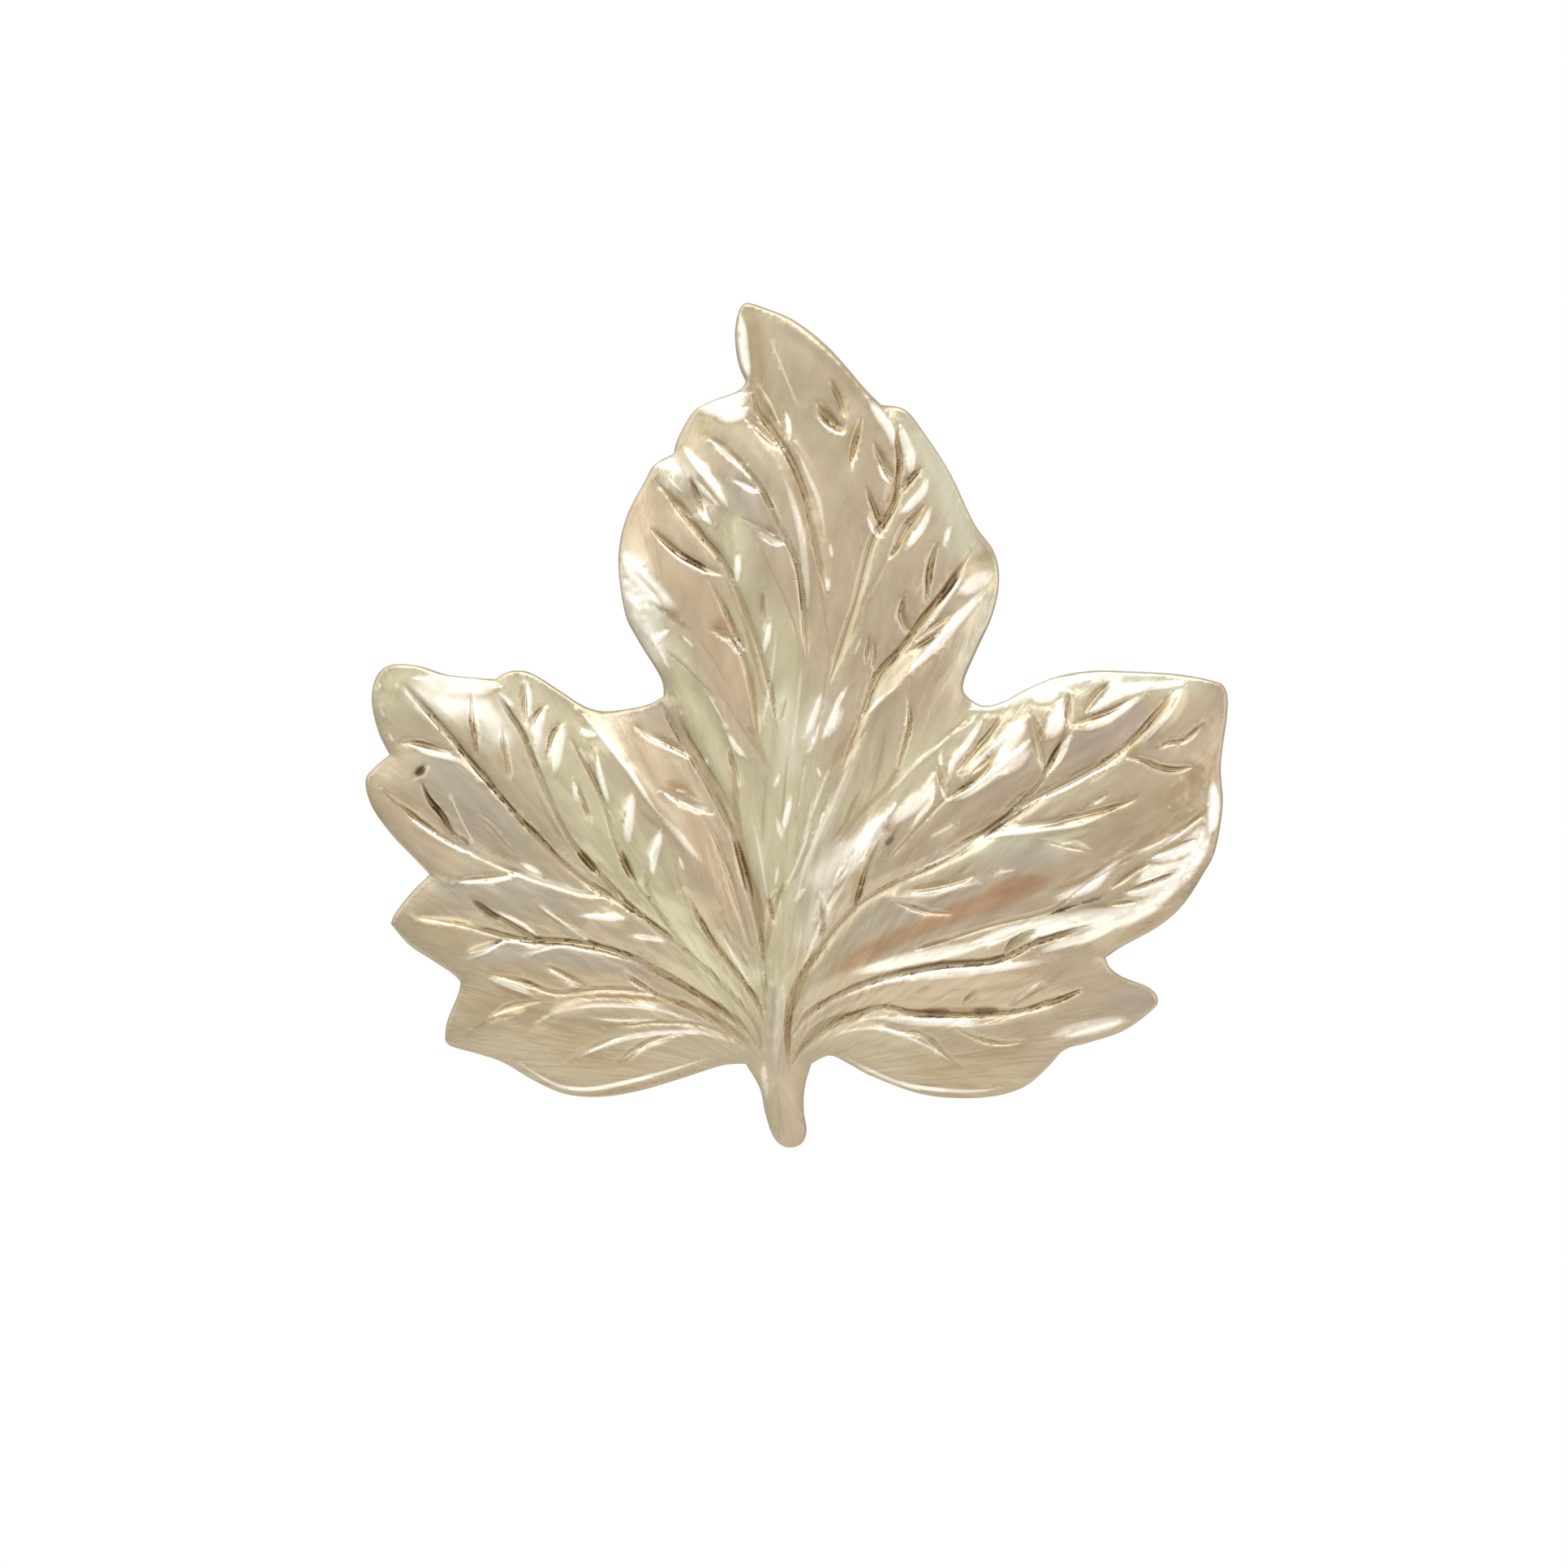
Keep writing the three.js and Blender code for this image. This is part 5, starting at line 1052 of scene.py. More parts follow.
# %% Build the leaf
FACE_STEP = 0.17
BACK_STEP = 0.5
CLEAR_OF_RIM = 0.6   # of a step
EDGE_INSET = 0.13
PLATE_AT = {"hinge": -14.5, "catch": 15.5}
PLATE_HALF = (3.0, 2.1)
PLATE_Y = 15.4
LAND_Z, LAND_MARGIN, LAND_BLEND = -0.5, 0.5, 1.1
LAND_SHEET = 0.5     # the least metal left over a land
ROW_STEP, ROW_APART, EVEN_APART = 0.17, 0.07, 0.115
ROWS = (0, -0.45, 0.45, -1, 1)      # across a stroke, as shares of its half width
RINGS = [(0.04, 0.10), (0.0, 0.30), (0.0, 0.70), (0.04, 0.90)]      # inset, share of thickness
EASE_ROUNDS = 60
EASE_FROM_RIM = 1.0
RIM_PAINTED_SHADE = 0.16      # painted shade: the rim's colour is this much darker than the face inside it
RIM_FADE = 0.55
FAR_FROM_RIM = 10    # the back gets no painted shade at its rim


def inward(loop):
    """Unit normals that point into the leaf from each point of its rim."""
    tangent = np.roll(loop, -1, axis=0) - np.roll(loop, 1, axis=0)
    tangent /= np.hypot(*tangent.T)[:, None]
    return np.c_[tangent[:, 1], -tangent[:, 0]]


def lattice(step, loop, clear):
    """Evenly spaced points inside the rim that keep clear of it, with their distances to it."""
    row_step = step * math.sqrt(3) / 2
    low, high = loop.min(axis=0), loop.max(axis=0)
    rows = np.arange(int((high[1] - low[1]) / row_step) + 1)
    columns = np.arange(int((high[0] - low[0]) / step) + 2)
    row, column = np.meshgrid(rows, columns, indexing="ij")
    points = np.c_[(low[0] + (column + (row % 2) / 2) * step).ravel(), (low[1] + row * row_step).ravel()]
    points = points[inside_rim(points, loop)]
    to_rim = beside(points, np.vstack([loop, loop[:1]]))[0]
    keep = to_rim > clear
    return points[keep], to_rim[keep]


def rows_beside(stops, width_at):
    """Points along a stroke's middle, flanks and edges, a few rows of them."""
    line = smooth_line(stops, ROW_STEP)
    tangent = np.gradient(line, axis=0)
    tangent /= np.hypot(*tangent.T)[:, None]
    normal = np.c_[-tangent[:, 1], tangent[:, 0]]
    along = np.r_[0, np.cumsum(np.hypot(*np.diff(line, axis=0).T))]
    width = width_at(along, along[-1])[:, None]
    return [line + share * width * normal for share in ROWS]


def stroke_rows():
    """Rows of points for every cut and stroke, so that each keeps its true section."""
    rows = []
    for half, _, stops in VEINS:
        rows += rows_beside(stops, lambda along, length: cut_width(half, vein_shape(along, length)))
    for half, _, stops in BARBS:
        rows += rows_beside(stops, lambda along, length: cut_width(half, leaf_shape(along / length)))
    for half, _, stops in crisp_strokes():
        rows += rows_beside(stops, lambda along, length: STROKE_SPREAD * half * leaf_shape(along / length))
    return np.vstack(rows)


def spread_out(points, apart):
    """The points without those that crowd an earlier one."""
    taken = {}
    kept = []
    for number, (x, y) in enumerate(points.tolist()):
        cell = (int(x // apart), int(y // apart))
        crowd = (taken.get((cell[0] + i, cell[1] + j)) for i in (-1, 0, 1) for j in (-1, 0, 1))
        if any(p and (p[0] - x) ** 2 + (p[1] - y) ** 2 < apart * apart for p in crowd):
            continue
        taken[cell] = (x, y)
        kept.append(number)
    return np.array(kept)


def face_lattice(loop):
    """The rows of every cut, then an even lattice wherever they leave room."""
    rows = stroke_rows()
    rows = rows[inside_rim(rows, loop)]
    even, _ = lattice(FACE_STEP, loop, FACE_STEP * CLEAR_OF_RIM)
    points = np.vstack([rows, even])
    kept = np.concatenate([spread_out(rows, ROW_APART), np.arange(len(rows), len(points))])
    points = points[kept]
    count = np.searchsorted(kept, len(rows))
    crowded = spread_out(points, EVEN_APART)
    crowded = np.union1d(crowded, np.arange(count))
    points = points[crowded]
    to_rim = beside(points, np.vstack([loop, loop[:1]]))[0]
    keep = to_rim > FACE_STEP * CLEAR_OF_RIM
    return points[keep], to_rim[keep]


def triangles_between(loop, points):
    """Triangles that fill the loop through all the points. The loop's points come first."""
    plan = [Vector(p) for p in np.vstack([loop, points]).tolist()]
    result = delaunay_2d_cdt(plan, [], [list(range(len(loop)))[::-1]], 1, 1e-6)
    if len(result[0]) != len(plan):
        raise ValueError("the triangulation added points")
    return np.array(result[2])


def facing_up(triangles, points):
    """The triangles, all wound so that they face +z on the bench."""
    a, b, c = (points[triangles[:, k]] for k in range(3))
    turn = (b[:, 0] - a[:, 0]) * (c[:, 1] - a[:, 1]) - (b[:, 1] - a[:, 1]) * (c[:, 0] - a[:, 0])
    return np.where(turn[:, None] < 0, triangles[:, ::-1], triangles)


def back_height(points, face):
    """One sheet behind the face, easing onto the flat lands under the plates."""
    back = face - SHEET
    for x in PLATE_AT.values():
        over = np.abs(points - (x, PLATE_Y)) - PLATE_HALF - LAND_MARGIN
        outside = np.hypot(*np.clip(over, 0, None).T)
        share = np.clip(1 - outside / LAND_BLEND, 0, 1)
        share = share * share * (3 - 2 * share)
        land = np.minimum(LAND_Z, face - LAND_SHEET)
        back = back + share * (land - back)
    return back


def settled(height, faces, to_rim):
    """The heights with their creases eased out, as springy sheet does, all but at the rim."""
    ends = np.sort(np.vstack([faces[:, [0, 1]], faces[:, [1, 2]], faces[:, [2, 0]]]), axis=1)
    ends = np.unique(ends, axis=0)
    here, there = np.r_[ends[:, 0], ends[:, 1]], np.r_[ends[:, 1], ends[:, 0]]
    neighbours = np.bincount(here, minlength=len(height))
    ease = np.clip((to_rim - EDGE_INSET) / EASE_FROM_RIM, 0, 1)
    for _ in range(EASE_ROUNDS):
        mean = np.bincount(here, weights=height[there], minlength=len(height)) / neighbours
        height = height + ease * (mean - height)
    return height


def build_leaf():
    """The leaf's points and faces, and how deep the cuts are and what tint it has at each point."""
    normal = inward(rim)
    inset = rim + EDGE_INSET * normal
    face_points, to_rim = face_lattice(inset)
    back_points, back_to_rim = lattice(BACK_STEP, inset, BACK_STEP * CLEAR_OF_RIM)
    face_plan = np.vstack([inset, face_points])
    to_rim = np.r_[np.zeros(len(inset)), to_rim] + EDGE_INSET
    front_faces = facing_up(triangles_between(inset, face_points), face_plan)
    height = settled(pressed_height(face_plan, to_rim), front_faces, to_rim)
    note = np.zeros(len(face_plan))
    work_face(face_plan, height, note)
    height += ripple(face_plan) * np.clip(to_rim / EASE_FROM_RIM, 0, 1)
    work_strokes(face_plan, height)

    back_plan = np.vstack([inset, back_points])
    back_to_rim = np.r_[np.zeros(len(inset)), back_to_rim] + EDGE_INSET
    back = back_height(back_plan, pressed_height(back_plan, back_to_rim))

    count = len(inset)
    front_edge, back_edge = height[:count], back[:count]
    thick = front_edge - back_edge
    ring_points = [np.c_[rim + gap * normal, front_edge - share * thick] for gap, share in RINGS]

    points = np.vstack([np.c_[face_plan, height]] + ring_points + [np.c_[back_plan, back]])
    back_start = len(face_plan) + len(RINGS) * count
    back_faces = facing_up(triangles_between(inset, back_points), back_plan)[:, ::-1] + back_start
    starts = [0] + [len(face_plan) + k * count for k in range(len(RINGS))] + [back_start]
    here = np.arange(count)
    there = (here + 1) % count
    edge_faces = [
        np.vstack([np.c_[upper + here, upper + there, lower + there],
                   np.c_[upper + here, lower + there, lower + here]])
        for upper, lower in zip(starts[:-1], starts[1:])
    ]
    faces = np.vstack([front_faces, back_faces] + edge_faces)
    notes = np.r_[note, np.zeros(len(points) - len(note))]
    tints = np.tile(np.array(TINTS["tan"]), (len(points), 1))
    tints[:len(face_plan)] = patina_and_painted_light(face_plan)
    to_rim = np.r_[to_rim, np.zeros(len(RINGS) * count), np.full(len(back_plan), FAR_FROM_RIM)]
    # painted shade: the colour darkens towards the rim
    tints *= 1 - RIM_PAINTED_SHADE * np.exp(-((to_rim / RIM_FADE) ** 2))[:, None]
    return points, faces, notes, tints


def mesh_object(name, points, faces):
    """A smooth mesh object at the origin, from model points in metres."""
    mesh = bpy.data.meshes.new(name)
    mesh.from_pydata(points.tolist(), [], faces.tolist())
    mesh.shade_smooth()
    piece = bpy.data.objects.new(name, mesh)
    bpy.context.scene.collection.objects.link(piece)
    return piece


leaf_points, leaf_faces, leaf_notes, leaf_tints = build_leaf()
leaf = mesh_object("leaf_skin", in_model(leaf_points), leaf_faces)
leaf.data.attributes.new("patina_and_painted_light", "FLOAT_COLOR", "POINT").data.foreach_set(
    "color", np.c_[leaf_tints, np.ones(len(leaf_tints))].ravel())
leaf.data.attributes.new("tarnish", "FLOAT", "POINT").data.foreach_set("value", leaf_notes)
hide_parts("leaf")
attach(leaf, "brooch")
print("leaf:", len(leaf_faces), "triangles, face from",
      leaf_points[:, 2].min().round(2), "to", leaf_points[:, 2].max().round(2), "mm")

# %% [markdown]
# ## Finishes
#
# Silver takes its look from what it reflects, so the metal itself is simple: a warm colour,
# clouds of tone, and a roughness that varies with them. The leaf also has its painted tints,
# with their painted highlights, shade and reflections, streaks as from a brush that fan out
# from the foot of the veins, and dirt down in the cuts.

# %% Polished silver


def new_material(name):
    """A material, its node tree and its main shader."""
    material = bpy.data.materials.new(name)
    material.use_nodes = True
    tree = material.node_tree
    shader = tree.nodes["Principled BSDF"]
    return material, tree, shader


def node(tree, kind, **settings):
    """A new node. A setting that names an input fills it, and any other is a property."""
    added = tree.nodes.new(kind)
    for key, value in settings.items():
        if key in added.inputs:
            added.inputs[key].default_value = value
        else:
            setattr(added, key, value)
    return added


def wire(tree, *pairs):
    """Links each output to its input."""
    for source, target in pairs:
        tree.links.new(source, target)


def map_range(tree, value, low, high, least=0.0, most=1.0):
    """A socket that takes the value from low..high to least..most."""
    ranged = node(tree, "ShaderNodeMapRange")
    for key, number in (("From Min", low), ("From Max", high), ("To Min", least), ("To Max", most)):
        ranged.inputs[key].default_value = number
    tree.links.new(value, ranged.inputs["Value"])
    return ranged.outputs["Result"]


STREAK_DARK, STREAK_LIGHT = (0.85, 0.83, 0.80, 1), (1.08, 1.08, 1.08, 1)
STREAK_RELIEF = 0.08 * MM
STREAK_BUMP = 0.35
STREAKS_ACROSS, STREAKS_ALONG = 24, 260     # per radian of the fan and per metre out along it
STREAK_FROM, STREAK_TO = 0.3, 0.68
CLOUDS = 260.0       # per metre
CLOUD_SHADE = (0.92, 0.90, 0.87, 1)
DIRT_FROM, DIRT_TO, DIRT_MOST = 0.1, 0.9, 0.45
ROUGH_LEAST, ROUGH_MOST = 0.85, 1.2
FIRST, SECOND, MIXED = 6, 7, 2      # the colour sockets of a mix node
fan_foot = in_model([0, -2, 0])[0]


def fan_streaks(tree, place):
    """Uneven streaks, 0 to 1, that fan out from the foot of the veins like scratches of a brush."""
    from_foot = node(tree, "ShaderNodeVectorMath", operation="SUBTRACT")
    from_foot.inputs[1].default_value = (fan_foot[0], 0, fan_foot[2])
    apart = node(tree, "ShaderNodeSeparateXYZ")
    turn = node(tree, "ShaderNodeMath", operation="ARCTAN2")
    reach = node(tree, "ShaderNodeVectorMath", operation="LENGTH")
    fan = node(tree, "ShaderNodeCombineXYZ")
    stretched = node(tree, "ShaderNodeVectorMath", operation="MULTIPLY")
    stretched.inputs[1].default_value = (STREAKS_ACROSS, STREAKS_ALONG, 0)
    streaks = node(tree, "ShaderNodeTexNoise", Scale=1.0, Detail=5.0, Roughness=0.62, Distortion=0.4)
    wire(
        tree,
        (place, from_foot.inputs[0]),
        (from_foot.outputs["Vector"], apart.inputs[0]),
        (apart.outputs["X"], turn.inputs[0]),
        (apart.outputs["Z"], turn.inputs[1]),
        (from_foot.outputs["Vector"], reach.inputs[0]),
        (turn.outputs[0], fan.inputs["X"]),
        (reach.outputs["Value"], fan.inputs["Y"]),
        (fan.outputs[0], stretched.inputs[0]),
        (stretched.outputs["Vector"], streaks.inputs["Vector"]),
    )
    return map_range(tree, streaks.outputs["Fac"], STREAK_FROM, STREAK_TO)


def tinted(tree, shader, tone, place, tints):
    """Gives the tone the painted tints and brushed streaks. Returns the colour."""
    tint = node(tree, "ShaderNodeAttribute", attribute_name=tints)
    worn = node(tree, "ShaderNodeMix", data_type="RGBA")
    worn.inputs[FIRST].default_value = STREAK_DARK
    worn.inputs[SECOND].default_value = STREAK_LIGHT
    streaked = node(tree, "ShaderNodeMix", data_type="RGBA", blend_type="MULTIPLY")
    streaked.inputs[0].default_value = 1.0
    bump = node(tree, "ShaderNodeBump", Strength=STREAK_BUMP, Distance=STREAK_RELIEF)
    streak = fan_streaks(tree, place)
    wire(
        tree,
        (tint.outputs["Color"], tone.inputs[FIRST]),
        (streak, worn.inputs[0]),
        (tone.outputs[MIXED], streaked.inputs[FIRST]),
        (worn.outputs[MIXED], streaked.inputs[SECOND]),
        (streak, bump.inputs["Height"]),
        (bump.outputs["Normal"], shader.inputs["Normal"]),
    )
    return streaked.outputs[MIXED]


def dirtied(tree, colour, dark, notes):
    """The colour darkened where the notes say that dirt stays."""
    attribute = node(tree, "ShaderNodeAttribute", attribute_name=notes)
    amount = map_range(tree, attribute.outputs["Fac"], DIRT_FROM, DIRT_TO, most=DIRT_MOST)
    dirt = node(tree, "ShaderNodeMix", data_type="RGBA")
    dirt.inputs[SECOND].default_value = dark
    wire(tree, (amount, dirt.inputs[0]), (colour, dirt.inputs[FIRST]))
    return dirt.outputs[MIXED]


def silver(name, clean, dark, roughness, notes=None, tints=None):
    """Warm metal with clouds of tone, and with the leaf's tints (tarnish and painted light) and dirt if it
    has them.
    """
    material, tree, shader = new_material(name)
    shader.inputs["Metallic"].default_value = 1.0
    place = node(tree, "ShaderNodeTexCoord").outputs["Object"]
    cloud = node(tree, "ShaderNodeTexNoise", Scale=CLOUDS, Detail=4.0, Roughness=0.6)
    tone = node(tree, "ShaderNodeMix", data_type="RGBA", blend_type="MULTIPLY")
    tone.inputs[FIRST].default_value = clean
    tone.inputs[SECOND].default_value = CLOUD_SHADE
    wire(tree, (place, cloud.inputs["Vector"]), (cloud.outputs["Fac"], tone.inputs[0]))
    colour = tone.outputs[MIXED]
    if tints:
        colour = tinted(tree, shader, tone, place, tints)
    if notes:
        colour = dirtied(tree, colour, dark, notes)
    rough = map_range(tree, cloud.outputs["Fac"], 0.0, 1.0,
                      roughness * ROUGH_LEAST, roughness * ROUGH_MOST)
    wire(tree, (colour, shader.inputs["Base Color"]), (rough, shader.inputs["Roughness"]))
    return material


SILVER_CLEAN = (0.48, 0.43, 0.34, 1)
SILVER_DARK = (0.25, 0.18, 0.10, 1)
leaf_silver = silver("leaf_silver", SILVER_CLEAN, SILVER_DARK, 0.27,
                     notes="tarnish", tints="patina_and_painted_light")
finding_silver = silver("finding_silver", (0.50, 0.46, 0.39, 1), SILVER_DARK, 0.34)
pin_metal = silver("pin_metal", (0.58, 0.55, 0.49, 1), SILVER_DARK, 0.26)


def finish(piece, material):
    """Gives a piece its one material."""
    piece.data.materials.clear()
    piece.data.materials.append(material)


finish(leaf, leaf_silver)

# %% [markdown]
# ## The findings
#
# Two plates are soldered to the back of the leaf, one for the hinge and one for the catch.
# Findings could be drawn face by face. Here they are made as at the bench: round pieces are
# turned from a profile, flat ones sawn from an outline, and then they are joined, drilled and
# slotted, and their edges eased.

# %% Turn, saw, join and cut
PIN_Y, AXIS_Z = RIVET_ON_BENCH[1:]
HINGE_X, CATCH_X, POINT_X = RIVET_ON_BENCH[0], 15.5, 19.5
ALONG = {"x": (0, 1, 2), "y": (2, 0, 1), "z": (1, 2, 0)}
SIDES = 64


def turned(profile, axis, centre):
    """A solid of revolution about a bench axis, from rows of (along, radius)."""
    turn = np.linspace(0, 2 * np.pi, SIDES, endpoint=False)
    rings = [np.c_[np.full(SIDES, along), radius * np.cos(turn), radius * np.sin(turn)]
             for along, radius in profile]
    faces = [tuple(reversed(range(SIDES)))]
    for ring in range(len(profile) - 1):
        for side in range(SIDES):
            first, second = ring * SIDES + side, ring * SIDES + (side + 1) % SIDES
            faces.append((first, second, second + SIDES, first + SIDES))
    faces.append(tuple(range((len(profile) - 1) * SIDES, len(profile) * SIDES)))
    return np.vstack(rings)[:, ALONG[axis]] + centre, faces


def sawn(outline, low, high, axis, centre):
    """A flat outline, anticlockwise, given a thickness from low to high along a bench axis."""
    outline = np.asarray(outline)
    count = len(outline)
    points = np.vstack([np.c_[np.full(count, level), outline] for level in (low, high)])
    faces = [tuple(reversed(range(count))), tuple(range(count, 2 * count))]
    faces += [(i, (i + 1) % count, (i + 1) % count + count, i + count) for i in range(count)]
    return points[:, ALONG[axis]] + centre, faces


def arc(radius, first, last, centre=(0, 0), steps=12):
    """Points on an arc, with its angles in degrees."""
    turn = np.radians(np.linspace(first, last, steps + 1))
    return np.c_[centre[0] + radius * np.cos(turn), centre[1] + radius * np.sin(turn)]


def rounded(width, height, corner):
    """The outline of a rectangle with round corners, about its own middle."""
    x, y = width / 2 - corner, height / 2 - corner
    corners = [(x, y), (-x, y), (-x, -y), (x, -y)]
    return np.vstack([arc(corner, 90 * i, 90 * i + 90, c, 8) for i, c in enumerate(corners)])


def loose_object(name, points, faces):
    """An object still in bench millimetres."""
    mesh = bpy.data.meshes.new(name)
    mesh.from_pydata(np.asarray(points).tolist(), [], faces)
    piece = bpy.data.objects.new(name, mesh)
    bpy.context.scene.collection.objects.link(piece)
    return piece


def evaluated_mesh(piece):
    """The piece's mesh with its modifiers worked in."""
    bpy.context.view_layer.update()
    graph = bpy.context.evaluated_depsgraph_get()
    return bpy.data.meshes.new_from_object(piece.evaluated_get(graph))


def made(name, parts, cuts=(), ease=0.05):
    """One object in the model from bench solids joined together, others cut out, edges eased."""
    solids = [loose_object(name, *solid) for solid in (*parts, *cuts)]
    whole = solids[0]
    for number, other in enumerate(solids[1:], start=1):
        step = whole.modifiers.new("step", "BOOLEAN")
        step.object = other
        step.operation = "UNION" if number < len(parts) else "DIFFERENCE"
        step.solver = "EXACT"
    if ease:
        edge = whole.modifiers.new("ease", "BEVEL")
        edge.width, edge.segments = ease, 3
        edge.limit_method, edge.angle_limit = "ANGLE", math.radians(40)
    mesh = evaluated_mesh(whole)
    for solid in solids:
        bpy.data.objects.remove(solid)
    points = np.array([corner.co for corner in mesh.vertices])
    mesh.vertices.foreach_set("co", in_model(points).ravel())
    mesh.update()
    mesh.shade_smooth()
    mesh.set_sharp_from_angle(angle=math.radians(32))
    mesh.name = name
    piece = bpy.data.objects.new(name, mesh)
    bpy.context.scene.collection.objects.link(piece)
    return piece


def fit(piece, node_name, body, material):
    """Gives a finished piece its metal and its place on a body of the model."""
    finish(piece, material)
    if node_name:
        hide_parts(node_name)
    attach(piece, body)
    print(piece.name, "has", len(piece.data.polygons), "faces")


# %% Plates
PLATE = (6.0, 4.2)
PLATE_CORNER = 1.0
PLATE_BACK = LAND_Z - 0.5

for name, x in (("hinge_plate", HINGE_X), ("catch_plate", CATCH_X)):
    blank = sawn(rounded(*PLATE, PLATE_CORNER), PLATE_BACK, LAND_Z, "z", (x, PIN_Y, 0))
    plate = made(name + "_skin", [blank], ease=0.1)
    fit(plate, name, "brooch", finding_silver)

# %% [markdown]
# ## Hinge
#
# Two ears on a foot and a rivet through them hold the barrel of the pin. The ears are drilled
# together, so that their holes line up.

# %% Hinge
FOOT = (3.2, 3.4)
FOOT_BACK = PLATE_BACK - 0.5
EAR_R, EAR_INSIDE, EAR_OUTSIDE, EAR_HOLE, EAR_FOOT_HALF = 1.1, 1.1, 1.7, 0.42, 1.3
hinge = (HINGE_X, PIN_Y, AXIS_Z)

ear_foot = [(PLATE_BACK - AXIS_Z, side * EAR_FOOT_HALF) for side in (-1, 1)]
ear_outline = np.vstack([ear_foot, arc(EAR_R, 80, 280, steps=24)])
knuckle = made("hinge_knuckle_skin", [
    sawn(rounded(*FOOT, 0.3), FOOT_BACK, PLATE_BACK, "z", (HINGE_X, PIN_Y, 0)),
    sawn(ear_outline, EAR_INSIDE, EAR_OUTSIDE, "y", hinge),
    sawn(ear_outline, -EAR_OUTSIDE, -EAR_INSIDE, "y", hinge),
], cuts=[turned([(-3, EAR_HOLE), (3, EAR_HOLE)], "y", hinge)], ease=0.06)
fit(knuckle, "hinge_knuckle", "brooch", finding_silver)

RIVET_R, HEAD_R, HEAD_HEIGHT, HEAD_AT = 0.4, 0.72, 0.35, 1.72
dome = [(HEAD_AT + HEAD_HEIGHT * math.cos(t), HEAD_R * math.sin(t))
        for t in np.radians([1, 15, 30, 45, 60, 75, 90])]
rivet_profile = [(-along, radius) for along, radius in dome]
rivet_profile += [(-HEAD_AT, RIVET_R), (HEAD_AT, RIVET_R)] + dome[::-1]
rivet = made("hinge_rivet_skin", [turned(rivet_profile, "y", hinge)], ease=0)
fit(rivet, "hinge_rivet", "brooch", pin_metal)

# %% [markdown]
# ## Pin
#
# A barrel and a wire with a long taper to its point, both turned. The barrel is drilled last,
# so that the hole goes through the root of the wire too.

# %% Pin
WIRE_R, BARREL_R, BARREL_HALF, BARREL_HOLE = 0.45, 0.95, 1.0, 0.45
TAPER, POINT_R = 7.0, 0.02
reach = POINT_X - HINGE_X

barrel_end = [(BARREL_HALF - 0.1, BARREL_R), (BARREL_HALF - 0.04, BARREL_R - 0.03),
              (BARREL_HALF, BARREL_R - 0.1)]
barrel_profile = [(-along, radius) for along, radius in barrel_end[::-1]] + barrel_end
wire_profile = [(0.6, 0.68), (0.9, 0.66), (1.05, 0.56), (1.3, 0.48), (1.7, WIRE_R),
                (reach - TAPER, WIRE_R)]
wire_profile += [(reach - TAPER * (1 - t), POINT_R + (WIRE_R - POINT_R) * (1 - t ** 1.6))
                 for t in np.linspace(0.1, 1, 10)]
pin = made("pin_stem_skin", [turned(barrel_profile, "y", hinge), turned(wire_profile, "x", hinge)],
           cuts=[turned([(-3, BARREL_HOLE), (3, BARREL_HOLE)], "y", hinge)], ease=0)
fit(pin, "pin_stem", "pin", pin_metal)

# %% [markdown]
# ## Safety catch
#
# Two open rings hold a slotted tube. Its lever turns the slot away from the opening of the
# rings, and the pin is shut in. Collar and lever are joined on before the slot is cut.

# %% Safety catch
SADDLE = (3.8, 2.6)
RING_R, RING_BORE, RING_HALF_GAP, RING_END = 1.75, 1.25, 1.0, 1.9
SLOT_ANGLE = 42
TUBE_R, TUBE_BORE, TUBE_HALF, SLOT_HALF = 1.2, 0.62, 2.1, 0.56
COLLAR_R, COLLAR_HALF = 1.68, 0.9
LEVER_ANGLE, LEVER_REACH, KNOB_R, LEVER_HALF = -32, 3.3, 0.525, 0.75
catch = (CATCH_X, PIN_Y, AXIS_Z)

ring_outline = np.vstack([arc(RING_R, SLOT_ANGLE - 90, 270 - SLOT_ANGLE, steps=48),
                          arc(RING_BORE, 270 - SLOT_ANGLE, SLOT_ANGLE - 90, steps=48)])
web = rounded(1.7, 0.6, 0.05) + (0, PLATE_BACK - 0.3 - AXIS_Z)
housing_parts = [sawn(rounded(*SADDLE, 0.3), PLATE_BACK - 0.35, PLATE_BACK, "z", (CATCH_X, PIN_Y, 0))]
for low, high in ((-RING_END, -RING_HALF_GAP), (RING_HALF_GAP, RING_END)):
    housing_parts += [sawn(ring_outline, low, high, "x", catch), sawn(web, low, high, "x", catch)]
housing = made("catch_housing_skin", housing_parts)
fit(housing, "catch_housing", "brooch", finding_silver)

lever_outline = np.vstack([[(0.9, -0.32), (2.85, -0.24)],
                           arc(KNOB_R, -150, 150, (LEVER_REACH, 0), 24),
                           [(2.85, 0.24), (0.9, 0.32)]])
turn = math.radians(LEVER_ANGLE)
lever_outline = lever_outline @ np.array([[math.cos(turn), math.sin(turn)],
                                          [-math.sin(turn), math.cos(turn)]])
slot = np.array([(-SLOT_HALF, -4), (SLOT_HALF, -4), (SLOT_HALF, 0), (-SLOT_HALF, 0)])
lock = made("catch_lock_skin", [
    turned([(-TUBE_HALF, TUBE_R), (TUBE_HALF, TUBE_R)], "x", catch),
    turned([(-COLLAR_HALF, COLLAR_R), (COLLAR_HALF, COLLAR_R)], "x", catch),
    sawn(lever_outline, -LEVER_HALF, LEVER_HALF, "x", catch),
], cuts=[turned([(-3, TUBE_BORE), (3, TUBE_BORE)], "x", catch), sawn(slot, -3, 3, "x", catch)])
fit(lock, "catch_lock", "lock", finding_silver)

# %% [markdown]
# ## Solder
#
# Solder has run along every seam and set as an uneven bead. Geometry Nodes sweeps a round
# section along the seam's path and moves the surface a little with noise.

# %% Beads of solder


